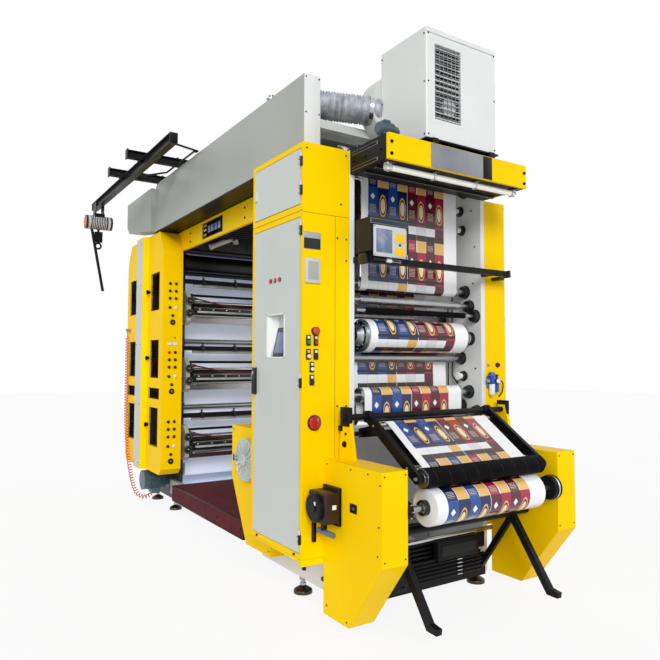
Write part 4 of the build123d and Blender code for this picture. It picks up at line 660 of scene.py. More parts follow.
class PRESS_OT_finishes(bpy.types.Operator):
    """Makes the finishes, puts them on the press's solids and rounds their edges"""
    bl_idname = "press.finishes"
    bl_label = "Finishes"

    def execute(self, context):
        colours = context.scene.press_colours
        sizes = context.scene.press_sizes
        edge = sizes.edge / MM
        for make, rows in PLAIN_FINISHES.items():
            for row in rows:
                make(*row)
        powder_coat("yellow_powder_coat", colours.yellow, "#FCC900", 0.36, 0.0, edge, 0.05)
        powder_coat("grey_powder_coat", colours.grey, "#C2C8C4", 0.42, 0.05, edge)
        powder_coat("pale_powder_coat", "#E6E9E8", "#DADEDC", 0.45, 0.1, edge)
        # A darker copy of the panel grey for the dryer side panels, with painted shade in its colour
        powder_coat("panel_grey_with_painted_shade", "#A9ADA6", "#9FA49D", 0.45, 0.05, edge)
        powder_coat("graphite_paint", "#232427", "#303236", 0.45, 0.05, edge)
        powder_coat("black_paint", colours.black, "#161618", 0.36, 0.0, edge, 0.14)
        rough_cover("red_deck_paint", colours.deck_red, "#45161B", 7, 0.7, 0.5, 0.15)
        tinted_pane("smoked_acrylic", "#0D0908")
        shiny_foil("duct_foil", "#B9BEC6", "#8D939C")
        printed_film("printed_film", colours, sizes.repeat)
        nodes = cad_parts
        for finish, names in NODE_FINISHES.items():
            for name in names:
                node = nodes[name]
                node.data.materials.clear()
                node.data.materials.append(bpy.data.materials[finish])
        return {"FINISHED"}


# The film's stops: y, z, radius of its middle layer, and 1 or -1 for the side that the roller is on
FILM_STOPS = (
    (*UNWIND_AXIS, 211.8, -1), (1330, 290, 46.8, 1), (4281, 290, 46.8, 1),
    (4236, 776, 91.8, 1), (4316, 1148.5, 31.8, -1), (4236, 1521, 91.8, 1), (4316, 1893.5, 31.8, -1),
    (4236, 2266, 91.8, 1), (4281, 2720, 46.8, 1), (3973, 2720, 46.8, 1), (3883, 420, 46.8, -1),
    (3575, 420, 46.8, -1), (3620, 776, 91.8, -1), (3540, 1148.5, 31.8, 1), (3620, 1521, 91.8, -1),
    (3540, 1893.5, 31.8, 1), (3620, 2266, 91.8, -1), (3480, 3218, 46.8, 1), (420, 3218, 46.8, 1),
    (165, 3010, 46.8, 1), (165, 2215, 46.8, 1), (430, 2270, 36.8, -1), (430, 2010, 36.8, -1),
    (*DRUM_AXIS, 114.8, 1), (211, 1700, 36.8, -1), (208, 1330, 31.8, -1), (128, 1440, 51.8, 1),
    (48, 1290, 29.8, -1), (-150, 1262, 21.8, 1), (-492, 1022, 23.8, 1),
    (*RUBBER_ROLLER_AXIS, 61.8, -1), (*WINDING_AXIS, 113.8, 1))
PRINT_START_STOP = 17  # the stop after which the film carries its print


def film_line(stops, step=math.radians(9)):
    """The film's middle layer as (y, z, away y, away z, distance) samples round its rollers."""
    runs = []
    for (ya, za, ra, ta), (yb, zb, rb, tb) in zip(stops, stops[1:]):
        along = Vector((yb - ya, zb - za))
        lean = math.asin((ta * ra - tb * rb) / along.length)
        angle = math.atan2(along.y, along.x) + lean
        right = Vector((math.sin(angle), -math.cos(angle)))
        runs.append((Vector((ya, za)) + right * (ta * ra), Vector((yb, zb)) + right * (tb * rb), right))
    samples, distance, printed_from = [], 0.0, 0.0
    for i, (start, end, right) in enumerate(runs):
        if i == PRINT_START_STOP:
            printed_from = distance
        samples.append((start.x, start.y, right.x, right.y, distance))
        distance += (end - start).length
        samples.append((end.x, end.y, right.x, right.y, distance))
        if i + 1 < len(runs):
            y, z, radius, turn = stops[i + 1]
            sweep = math.atan2(right.cross(runs[i + 1][2]), right.dot(runs[i + 1][2]))
            if sweep * turn < 0:
                sweep += turn * 2 * math.pi
            count = max(1, int(abs(sweep) / step))
            for k in range(1, count):
                part = Vector((right.x, right.y))
                part.rotate(Matrix.Rotation(sweep * k / count, 2))
                spot = Vector((y, z)) + part * (turn * radius)
                gone = distance + abs(sweep) * radius * k / count
                samples.append((spot.x, spot.y, part.x, part.y, gone))
            distance += abs(sweep) * radius
    return [(y, z, ny, nz, (d - printed_from) * MM) for y, z, ny, nz, d in samples]


class PRESS_OT_film(bpy.types.Operator):
    """Threads the printed film through the press and winds it on its roll"""
    bl_idname = "press.film"
    bl_label = "Film and rolls"

    def execute(self, context):
        half, thick = FILM_WIDTH / MM / 2, 1.2
        bm = bmesh.new()
        layer = bm.loops.layers.uv.new("film")
        rings = []
        for y, z, ny, nz, distance in film_line(FILM_STOPS):
            ring = [bm.verts.new(at(x, y + ny * t, z + nz * t)) for x, t in
                    ((-half, thick), (half, thick), (half, -thick), (-half, -thick))]
            rings.append((ring, distance))
        for (low, start), (high, end) in zip(rings, rings[1:]):
            for k in range(4):
                n = (k + 1) % 4
                face = bm.faces.new((low[k], low[n], high[n], high[k]))
                for loop in face.loops:
                    left = loop.vert in (low[0], low[3], high[0], high[3])
                    loop[layer].uv = (0.0 if left else FILM_WIDTH, start if loop.vert in low else end)
        film_end = rings[-1][1]
        film = finish_piece("film_threaded", bm, ["printed_film"])
        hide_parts("web")
        bm = bmesh.new()
        layer = bm.loops.layers.uv.new("film")
        centre = WINDING_AXIS
        count, radius, overhang = 72, 112.0, 18
        rims = []
        for x in (-half - overhang, half + overhang):
            rims.append([bm.verts.new(at(x, *spot)) for spot in around(centre, radius, count)])
        for k in range(count):
            n = (k + 1) % count
            face = bm.faces.new((rims[0][k], rims[0][n], rims[1][n], rims[1][k]))
            for loop in face.loops:
                turn = k if loop.vert in (rims[0][k], rims[1][k]) else k + 1
                loop[layer].uv = (-overhang * MM if loop.vert in rims[0] else FILM_WIDTH + overhang * MM,
                                  film_end + 2 * math.pi * radius * MM * turn / count)
        roll = finish_piece("winding_roll_print", bm, ["printed_film"], body="rewind_roll")
        bm = bmesh.new()
        for side in (-1, 1):
            start = at(side * 470, *centre)
            out = RIGHT * side
            turned(bm, start, out, [(-4, 111.6), (0, 111.2), (1.5, 96), (-1, 95), (1.0, 80), (-1, 79),
                                    (0.8, 62), (-1, 61), (0.5, 46), (-1, 45.5)], 0, 64)
            turned(bm, start, out,
                   [(-4, 45.5), (30, 45.5), (33, 43), (33, 38), (12, 36), (12, 0)], 1, 48)
            turned(bm, start, out, [(10, 36), (24, 35), (27, 31), (27, 22), (36, 20), (100, 20)], 2, 40)
            for spot in around(centre, 28, 6):
                socket_screw(bm, at(side * 496, *spot), out, 4, 2)
        turned(bm, at(-599.7, *centre), RIGHT, [(0, 20), (1219.4, 20)], 2, 24)
        ends = finish_piece("winding_roll_core", bm, ["pale_film", "black_plastic", "ground_steel"],
                            body="rewind_roll")
        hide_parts("winding_roll")
        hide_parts("winding_roll")
        return {"FINISHED"}


# The fittings below are placed in millimetres, as at() takes them: x from the film's centre line,
# y from the tower's front and z from the floor. Each shape has the number of its finish in the list
# that its piece ends with, or else takes the first one.


class PRESS_OT_cabinet_fittings(bpy.types.Operator):
    """Dresses the cabinet's doors and front with controls, hinges, screws and seams"""
    bl_idname = "press.cabinet_fittings"
    bl_label = "Cabinet fittings"

    def execute(self, context):
        door_face, hinge_x, hinge_y = -988, -993, 17
        bm = bmesh.new()
        for z in (571, 1535, 2499, 2758, 2944):
            turned(bm, at(hinge_x, hinge_y, z - 30.2), UP, [(0, 5), (0, 7.6), (60.2, 7.6), (60.2, 5)])
            slab(bm, (-989.5, 6, z - 30), (-985, 28, z + 30), 1)
        finish_piece("hinge_leaves_cabinet", bm, ["dark_steel"])
        for door, heights in (("lower_door", (571, 1535, 2499)), ("upper_door", (2758, 2944))):
            bm = bmesh.new()
            for z in heights:
                turned(bm, at(hinge_x, hinge_y, z + 30.4), UP, [(0, 5), (0, 7.6), (30, 7.6), (30, 5)])
                slab(bm, (-991, 30, z - 26), (-986, 50, z + 56), 1.5)
                for lift in (-15, 15, 45):
                    socket_screw(bm, at(-991, 41, z + lift), LEFT, 3, 1)
            finish_piece(f"hinge_leaves_{door}", bm, ["panel_bezel_grey", "dark_steel"], door)
        bm = bmesh.new()
        slab(bm, (-1015.5, 630, 1438), (-986, 660, 1627), 4)
        turned(bm, at(-1014, 645, 1590), LEFT, [(0, 11), (3, 11), (4, 8), (2, 7), (2, 0)], 1)
        slab(bm, (-1021, 638, 1446), (-1012, 652, 1560), 3)
        finish_piece("lower_door_handle", bm, ["black_plastic", "ground_steel"], "lower_door")
        bm = bmesh.new()
        slab(bm, (-999, 640, 2838), (-986, 662, 2886), 3)
        turned(bm, at(-999, 651, 2852), LEFT, [(0, 7), (2, 7), (3, 5), (1, 4), (1, 0)], 1)
        finish_piece("upper_door_latch", bm, ["black_plastic", "ground_steel"], "upper_door")
        bm = bmesh.new()
        for y0, z0, y1, z1 in ((228, 1690, 238, 1990), (475, 1690, 485, 1990), (228, 1980, 485, 1990),
                               (228, 1690, 485, 1700)):
            slab(bm, (-990.5, y0, z0), (-986, y1, z1), 1.2)
        cheek = [(-987.5, 474.5), (-987.5, 470), (-931, 404), (-931, 474.5)]
        low, high = [[bm.verts.new(at(x, y, z)) for x, y in cheek] for z in (1700.5, 1979.5)]
        bm.faces.new(low)
        bm.faces.new(high)
        for k in range(4):
            n = (k + 1) % 4
            bm.faces.new((low[k], low[n], high[n], high[k]))
        finish_piece("pocket_surround", bm, ["white_plastic"], "lower_door")
        bm = bmesh.new()
        lean = Matrix.Rotation(math.atan2(46, 205), 4, "Y")
        slab(bm, (-966, 242, 1702), (-954, 403, 1900), 3, 0, lean)
        slab(bm, (-969, 262, 1722), (-964, 386, 1868), 1.5, 1, lean)
        slab(bm, (-970, 268, 1876), (-960, 296, 1886), 1.5, 2, lean)
        finish_piece("pocket_screen", bm, ["black_plastic", "screen_dusk", "red_plastic"], "lower_door")
        bm = bmesh.new()
        for y in (299, 363, 427):
            turned(bm, at(door_face, y, 2216), LEFT, [(0, 16), (4, 16), (6, 13)], 1)
            turned(bm, at(door_face, y, 2216), LEFT, [(2, 11.6), (9.5, 11.6), (13, 8), (14, 0)], 0)
        finish_piece("door_lamp_lenses", bm, ["red_lens", "dark_steel"], "lower_door")
        bm = bmesh.new()
        stop = at(-900, 0, 1862)
        turned(bm, stop, FRONT, [(0, 29), (5, 29), (6, 26), (6, 18)], 1)
        turned(bm, stop, FRONT,
               [(4, 18), (20, 18.5), (22, 23.5), (30, 22.5), (34, 16), (35, 6), (35, 0)], 5)
        pairs = ((-944, 1791, 3, 4), (-889, 1791, 2, 4), (-944, 1703, 4, 1), (-889, 1703, 0, 4),
                 (-918, 1623, 4, 4), (-918, 1541, 0, 4))
        for x, z, cap, plate in pairs:
            slab(bm, (x - 17, -7, z - 22), (x + 17, 0.2, z + 46), 3)
            slab(bm, (x - 10, -9, z + 20), (x + 10, -5, z + 40), 1.5, plate)
            turned(bm, at(x, 0, z), FRONT,
                   [(5, 14.5), (9, 14.5), (10, 12.5), (15, 12.3), (17, 10), (17.5, 0)], cap)
        switch = at(-898, 0, 1285)
        turned(bm, switch, FRONT, [(0, 50), (4, 50), (6, 46), (6, 40)], 0)
        turned(bm, switch, FRONT, [(4, 43.5), (14, 43.5), (18, 39), (18, 0)], 2, 8)
        slab(bm, (-908, -46, 1249), (-888, -14, 1321), 4, 2)
        slab(bm, (-900, -48, 1296), (-896, -44, 1318), 1, 4)
        finish_piece("cabinet_controls", bm, ["black_plastic", "yellow_plastic", "red_plastic",
                                              "green_plastic", "white_plastic", "stop_button_red"])
        bm = bmesh.new()
        slab(bm, (-973, -15, 2165), (-864, 0.2, 2324), 4)
        slab(bm, (-957, -16.5, 2186), (-880, -14, 2304), 1, 1)
        slab(bm, (-982, -4, 2382), (-856, 0.2, 2492), 1.5, 2)
        slab(bm, (-979, -6, 2452), (-859, -3, 2489), 1, 3)
        finish_piece("cabinet_panel_and_plate", bm, ["panel_bezel_grey", "screen_grey", "black_plastic",
                                                     "ground_steel"])
        bm = bmesh.new()
        slab(bm, (-744.5, -0.8, 450), (-741.5, 0.2, 2616), 0.3)
        slab(bm, (-985, -0.8, 2616), (-636, 0.2, 2619), 0.3)
        slab(bm, (-986.8, 2, 2626), (-985.8, 713, 2630), 0.3)
        for x, z in ((-727, 2474), (-657, 2473), (-727, 1383), (-656, 1382), (-657, 2330), (-727, 560),
                     (-657, 560), (-700, 2700), (-660, 3030), (-960, 3030)):
            socket_screw(bm, at(x, 0, z), FRONT, 5.5, 1)
        finish_piece("cabinet_seams_and_screws", bm, ["seam_shadow", "dark_steel"])
        bm = bmesh.new()
        slab(bm, (-985.5, 2, 405), (-636, 40, 446.5), 4)
        slab(bm, (-985.5, 60, 430), (-960, 640, 446.8), 3)
        for y in (90, 610):
            hex_bolt(bm, at(-986, y, 466), LEFT, 15, 1)
        finish_piece("cabinet_underframe", bm, ["yellow_powder_coat", "dark_steel"])
        return {"FINISHED"}


class PRESS_OT_cover_fittings(bpy.types.Operator):
    """Adds the window gaskets, latches and coloured buttons of the print tower's covers"""
    bl_idname = "press.cover_fittings"
    bl_label = "Cover fittings"

    def execute(self, context):
        gasket = context.scene.press_sizes.gasket
        middles = (3508, 4348)
        windows = [(y, z, 135, 200) for y in middles for z in WINDOW_HEIGHTS]
        windows += [(y, 1315, 170, 50) for y in middles]
        bm = bmesh.new()
        for side in (-1, 1):
            inner, outer = side * 825, side * 829
            for y, z, half_y, half_z in windows:
                left, right, low, high = y - half_y, y + half_y, z - half_z, z + half_z
                for start, end in (((left - gasket, low - gasket), (left, high + gasket)),
                                   ((right, low - gasket), (right + gasket, high + gasket)),
                                   ((left, low - gasket), (right, low)),
                                   ((left, high), (right, high + gasket))):
                    slab(bm, (inner, *start), (outer, *end), 1.5)
                deep, shallow, tall = side * 819.5, side * 822, half_z > 100
                for share in (-0.62, 0.62) if tall else (-0.8, 0.8):
                    bar_y = y + share * half_y
                    slab(bm, (deep, bar_y - 6, low), (shallow, bar_y + 6, high), 1, 1)
                for share in (-0.88, 0.0, 0.88) if tall else (-0.5, 0.5):
                    bar_z = z + share * half_z
                    slab(bm, (deep, left, bar_z - 4), (shallow, right, bar_z + 4), 1, 1)
                if tall:
                    edge_y = right + 60 if y < PRINT_TOWER_MIDDLE_Y else left - 60
                    turned(bm, at(side * 826, edge_y, z + 10), RIGHT * side,
                           [(0, 16), (8, 16), (10, 12), (16, 12), (18, 24), (34, 26), (40, 18), (41, 0)])
        finish_piece("window_gaskets_and_latches", bm, ["ground_rubber", "window_frame_brown"])
        bm = bmesh.new()
        cap = [(0, 17), (4, 17), (5, 14.2), (14, 13.8), (16, 11), (16.5, 0)]
        for side in (-1, 1):
            post_x, face_y = side * 716, 3239
            for level, centre in enumerate(WINDOW_HEIGHTS):
                for row, drop in enumerate((-70, 10, 90, 190)):
                    for column, shift in enumerate((-33, 33)):
                        # One red cap on the middle deck, and a white one at each deck's foot
                        red, pale = (row, column, level) == (0, 0, 1), (row, column) == (3, 1)
                        turned(bm, at(post_x + shift, face_y, centre - drop), FRONT, cap,
                               1 if red else 2 if pale else 0, 18)
                turned(bm, at(post_x, face_y, centre - 277), FRONT, cap, 0, 18)
                turned(bm, at(post_x, face_y, centre - 350), FRONT, [
                    (0, 31), (4, 31), (6, 27), (12, 26.5), (13, 22), (12.5, 16), (10.5, 15), (10.5, 0)])
                turned(bm, at(post_x, face_y, centre - 350), FRONT, [(10, 12), (13, 12), (14, 0)], 3, 16)
            for shift, finish in ((-30, 4), (30, 0)):
                x = post_x + shift
                slab(bm, (x - 26, 3235.5, 1842), (x + 26, 3239.2, 1874), 1.5, 2)
                turned(bm, at(x, face_y, 1922), FRONT, [(0, 8), (3, 8), (5, 0)], finish, 14)
        finish_piece("deck_control_caps", bm, ["black_plastic", "red_plastic", "white_plastic",
                                               "ground_steel", "yellow_plastic"])
        bm = bmesh.new()
        for side in (-1, 1):
            for z in (2918, 3068):
                slab(bm, (side * 605.5, 2170, z - 5), (side * 609, 2674, z + 3), 1.2)
            for y in (2166, 2670):
                slab(bm, (side * 605.5, y, 2913), (side * 609, y + 8, 3071), 1.2)
            for y, (z, finish) in product((2600, 2640), ((2950, 2), (3000, 3), (3044, 2))):
                slab(bm, (side * 601.8, y - 12, z - 12), (side * 603.5, y + 12, z + 12), 1, finish)
            for k in range(4):
                slab(bm, (side * 601.8, 2230 + 85 * k, 2960), (side * 602.6, 2296 + 85 * k, 3030), 1, 4)
            for y, z in product((1669, 3020, 900), (2945, 3035)):
                hex_bolt(bm, at(side * 606, y, z), RIGHT * side, 16, 1)
            for y, z in product((3850, 4006), (520, 1180, 1860, 2540, 3020)):
                socket_screw(bm, at(side * 886, y, z), RIGHT * side, 5, 1)
            slab(bm, (side * 825.8, 3234, 3085), (side * 826.4, 3760, 3087), 0.2, 5)
        finish_piece("beam_displays_and_bolts", bm, ["black_plastic", "dark_steel", "yellow_plastic",
                                                     "white_plastic", "screen_dusk", "seam_shadow"])
        return {"FINISHED"}


class PRESS_OT_deck_fittings(bpy.types.Operator):
    """Adds the handwheels, clamps, blades, rods and valves of the six print decks"""
    bl_idname = "press.deck_fittings"
    bl_label = "Print deck fittings"

    def execute(self, context):
        wheel = context.scene.press_sizes.handwheel
        for stack, side in (("front", -1), ("rear", 1)):
            bm = bmesh.new()
            axis_y = FRONT_ANILOX_Y if side < 0 else 2 * PRINT_TOWER_MIDDLE_Y - FRONT_ANILOX_Y
            out = Vector((0, side, 0))

            def row(offset):
                """A y place that far outside the anilox axis of this stack."""
                return axis_y + side * offset

            for z in DECK_HEIGHTS:
                for end in (-1, 1):
                    x, inward = end * 522.5, RIGHT * -end
                    for wheel_z in (z + 70, z - 66):
                        hub = at(x, row(77), wheel_z)
                        turned(bm, hub, out, [
                            (0, 20), (10, 20), (12, 15), (13, wheel), (18, wheel + 2), (30, wheel + 2),
                            (35, wheel - 3), (35, 17), (39, 16), (42, 12), (42, 0)], 0, 32)
                        turned(bm, hub, out, [(41, 9), (46, 8), (47, 0)], 1, 20)
                        for grip_x, grip_z in around((x, wheel_z), wheel + 1, 10):
                            turned(bm, at(grip_x, row(90), grip_z), out, [(2, 5), (18, 5)], 0, 8)
                    for y, lift, bolt in ((60, 120, 16), (60, -120, 16), (20, -150, 20), (-40, 150, 20)):
                        hex_bolt(bm, at(end * 545, row(y), z + lift), RIGHT * end, bolt, 1)
                    slab(bm, (x - 18, row(77), z - 22), (x + 18, row(60), z + 22), 4)
                    turned(bm, at(end * 499, row(0), z - 62), inward,
                           [(0, 40), (12, 40), (14, 34), (26, 34), (27, 26), (29, 24)], 2)
                    turned(bm, at(end * 499, row(-105), z), inward,
                           [(0, 52), (10, 52), (12, 46), (24, 46), (28, 33), (29, 32)], 2)
                    for spot in around((row(-105), z), 49, 6, 15):
                        socket_screw(bm, at(end * 487, *spot), inward, 4, 1)
                    turned(bm, at(end * 495, row(32), z + 98), inward,
                           [(0, 24), (34, 24), (36, 19), (60, 19), (62, 13), (84, 13)], 1)
                    turned(bm, at(end * 478, row(32), z + 118), UP,
                           [(0, 9), (26, 9), (28, 14), (36, 14), (38, 10)], 0)
                for x in (-330, 60, 400):
                    slab(bm, (x - 15, row(-29), z + 262), (x + 15, row(31), z + 326), 3)
                    turned(bm, at(x, row(0), z + 326), UP,
                           [(0, 8), (14, 8), (15, 15), (24, 15), (26, 10)], 0, 16)
                slab(bm, (-452, row(-8), z + 236), (452, row(2), z + 272), 2, 2)
                slab(bm, (-452, row(60), z - 34), (452, row(76), z - 2), 2)
                slab(bm, (-452, row(56), z - 4), (452, row(60), z + 8), 1, 1)
                slab(bm, (-430, row(74), z - 60), (430, row(80), z - 34), 2, 2)
                for x in (-400, -240, -80, 80, 240, 400):
                    turned(bm, at(x, row(76), z - 18), out, [(0, 9), (8, 9), (10, 5)], 1, 14)
                strip(bm, [(-480, row(40), z - 100), (-440, row(84), z - 112), (430, row(84), z - 112),
                           (480, row(40), z - 100)], 7, 1)
                turned(bm, at(-455, row(45), z + 60), RIGHT, [(0, 15.5), (900, 15.5)], 1, 20)
            finish_piece(f"deck_fittings_{stack}", bm, ["black_plastic", "bright_steel",
                                                        "cast_grey_paint"])
        return {"FINISHED"}


class PRESS_OT_bay_fittings(bpy.types.Operator):
    """Adds the dark dryer over the top deck, its white duct, and the guide roller under it"""
    bl_idname = "press.bay_fittings"
    bl_label = "Bay fittings"

    def execute(self, context):
        bm = bmesh.new()
        slab(bm, (-584, 3262, 2876), (584, 3424, 3240), 14)
        slab(bm, (-560, 3256, 2894), (560, 3264, 2918), 3, 1)
        slab(bm, (-560, 3256, 3196), (560, 3264, 3220), 3, 1)
        for k in range(7):
            x = -510 + 170 * k
            slab(bm, (x - 4, 3257, 2920), (x + 4, 3264, 3194), 2, 1)
            socket_screw(bm, at(x, 3256, 2906), FRONT, 5, 2)
        slab(bm, (-584, 2330, 3062), (584, 3240, 3072), 4)
        for k in range(9):
            slab(bm, (-580, 2400 + 100 * k, 3048), (580, 2412 + 100 * k, 3063), 3, 1)
        finish_piece("deck_dryer_hood", bm, ["graphite_paint", "black_paint", "dark_steel"])
        bm = bmesh.new()
        turned(bm, at(-588, 3350, 2765), RIGHT, [
            (0, 50), (14, 50), (16, 92), (40, 95), (1136, 95), (1160, 92), (1162, 50), (1176, 50)], 0, 48)
        turned(bm, at(-588, 3300, 2640), RIGHT, [(0, 22), (1176, 22)], 0, 24)
        finish_piece("deck_dryer_roller", bm, ["dark_steel"])
        start, end = at(-300, 3226, 2950), at(10, 3226, 3092)
        axis = (end - start).normalized()
        length = (end - start).length / MM
        bm = bmesh.new()
        profile = [(0, 34), (10, 34), (11, 24)]
        for k in range(int((length - 24) / 10)):
            profile += [(12 + 10 * k, 24), (16 + 10 * k, 29), (18 + 10 * k, 29), (22 + 10 * k, 24)]
        turned(bm, start, axis, profile + [(length - 10, 24), (length - 9, 36), (length, 36)], 0, 28)
        turned(bm, end, UP * -1, [(-30, 26), (0, 30), (60, 30), (62, 34), (74, 34), (74, 20)], 0, 28)
        for share in (0.15, 0.85):
            spot = start + (end - start) * share
            turned(bm, spot, Vector((0, 1, 0)), [(20, 9), (38, 9)], 1, 12)
        finish_piece("deck_dryer_duct", bm, ["white_plastic", "dark_steel"])
        return {"FINISHED"}


class PRESS_OT_tower_fittings(bpy.types.Operator):
    """Adds the bearings, brackets, bolts and air unit of the rewind tower"""
    bl_idname = "press.tower_fittings"
    bl_label = "Tower fittings"

    def execute(self, context):
        bm = bmesh.new()
        seats = ((165, 3010), (165, 2215), (430, 2270), (430, 2010), DRUM_AXIS, (211, 1700), (208, 1330),
                 (128, 1440), (48, 1290), (120, 2098), (60, 2020))
        for side in (-1, 1):
            inward = RIGHT * -side
            for y, z in seats:
                reach = 33.8 if (y, z) == DRUM_AXIS else 35.5
                turned(bm, at(side * 590, y, z), inward,
                       [(0, 52), (7, 52), (9, 45), (reach, 43.4), (reach, 33)], 0)
                for spot in around((y, z), 48, 4, 45):
                    socket_screw(bm, at(side * 583, *spot), inward, 3.5, 1)
            for y, z in ((215, 2864), (195, 2708), (300, 1860), (186, 1560)):
                turned(bm, at(side * 590, y, z), inward,
                       [(0, 40), (10, 40), (12, 32), (30, 30), (31, 20)], 0)
                turned(bm, at(side * 590, y, z), inward,
                       [(28, 22), (62, 22), (64, 30), (72, 30), (74, 24), (74, 0)], 2)
            for y, z in ((95, 2848), (69, 2399), (81, 2276), (60, 1620), (60, 2560), (300, 2450),
                         (330, 2900)):
                socket_screw(bm, at(side * 590, y, z), inward, 6, 1)
            strip(bm, [(side * 578, 250, 2240), (side * 578, 300, 2180), (side * 578, 300, 1560),
                       (side * 578, 240, 1500)], 6, 0)
            strip(bm, [(side * 570, 340, 2120), (side * 570, 340, 1480)], 5, 0)
            slab(bm, (side * 574, 320, 1780), (side * 590, 352, 1830), 3)
        turned(bm, at(-469, 60, 2020), RIGHT, [(0, 20.8), (938, 20.8)], 3, 24)
        finish_piece("roller_bearings_and_brackets", bm, ["black_plastic", "dark_steel", "white_plastic",
                                                          "ground_rubber"])
        bm = bmesh.new()
        for low, high in ((1385, 1780), (2345, 2995)):
            slab(bm, (-589, 296, low), (-330, 302, high), 3)
            slab(bm, (-589, 272, low), (-560, 298, high), 3)
            for k in range(int((high - low) / 65)):
                slab(bm, (-545, 290, low + 20 + 65 * k), (-360, 297, low + 36 + 65 * k), 2, 1)
                slab(bm, (-574, 262, low + 24 + 65 * k), (-562, 273, low + 34 + 65 * k), 2, 2)
        slab(bm, (-589, 120, 2256), (-458, 126, 2350), 3)
        finish_piece("tower_cable_trays", bm, ["graphite_paint", "black_plastic", "dark_steel"])
        bm = bmesh.new()
        slab(bm, (636, -10, 1470), (736, 0.2, 1562), 3, 1)
        slab(bm, (642, -58, 1502), (690, -8, 1548), 5)
        slab(bm, (694, -58, 1502), (736, -8, 1548), 5, 2)
        turned(bm, at(666, -33, 1548), UP, [(0, 20), (10, 20), (12, 24), (38, 24), (44, 20), (45, 0)], 0)
        turned(bm, at(666, -33, 1502), UP * -1, [(0, 22), (70, 22), (82, 16), (88, 7), (94, 0)], 2)
        turned(bm, at(715, -33, 1502), UP * -1, [(0, 19), (52, 19), (62, 12), (66, 0)], 0)
        turned(bm, at(715, -33, 1548), UP, [(0, 10), (16, 10), (18, 17), (26, 17), (28, 0)], 3)
        turned(bm, at(690, -57, 1526), FRONT, [(0, 19), (12, 19), (14, 17), (14, 0)], 3)
        turned(bm, at(690, -71, 1526), FRONT, [(-2, 15), (0.6, 15), (0.6, 0)], 2)
        turned(bm, at(636, -33, 1526), LEFT, [(0, 13), (12, 13), (14, 9), (26, 9)], 1)
        turned(bm, at(736, -33, 1526), RIGHT, [(0, 13), (14, 13), (16, 9), (24, 9)], 3)
        strip(bm, [(758, -33, 1526), (776, -36, 1518), (784, -36, 1490), (780, -30, 1440),
                   (776, -10, 1412), (774, 6, 1400)], 5, 3)
        turned(bm, at(660, 0, 1647), FRONT, [(0, 13), (6, 13), (8, 9), (16, 8), (17, 0)], 1)
        turned(bm, at(759, 0, 1647), FRONT, [(0, 19), (6, 19), (8, 15), (20, 14), (22, 0)], 3)
        slab(bm, (700, -30, 1090), (790, 0.2, 1180), 4, 3)
        for x, z in ((650, 2880), (845, 2880), (650, 1330), (845, 1330), (845, 2000)):
            socket_screw(bm, at(x, 0, z), FRONT, 5, 1)
        finish_piece("air_preparation_unit", bm, ["blue_plastic", "ground_steel", "white_plastic",
                                                  "black_plastic"])
        bm = bmesh.new()
        for side in (-1, 1):
            out = RIGHT * side
            turned(bm, at(side * 480.2, *DRUM_AXIS), out,
                   [(0, 99), (3, 99), (4.5, 95), (4.5, 84), (1, 82), (1, 80)], 0, 40)
            for spot in around(DRUM_AXIS, 89, 8):
                hex_bolt(bm, at(side * 484.5, *spot), out, 11, 1)
            turned(bm, at(side * 518.2, *DRUM_AXIS), out,
                   [(0, 44), (5, 44), (7, 39), (7, 33), (2, 31)], 0)
        finish_piece("drum_end_rings", bm, ["dark_steel", "bright_steel"], "drum")
        return {"FINISHED"}


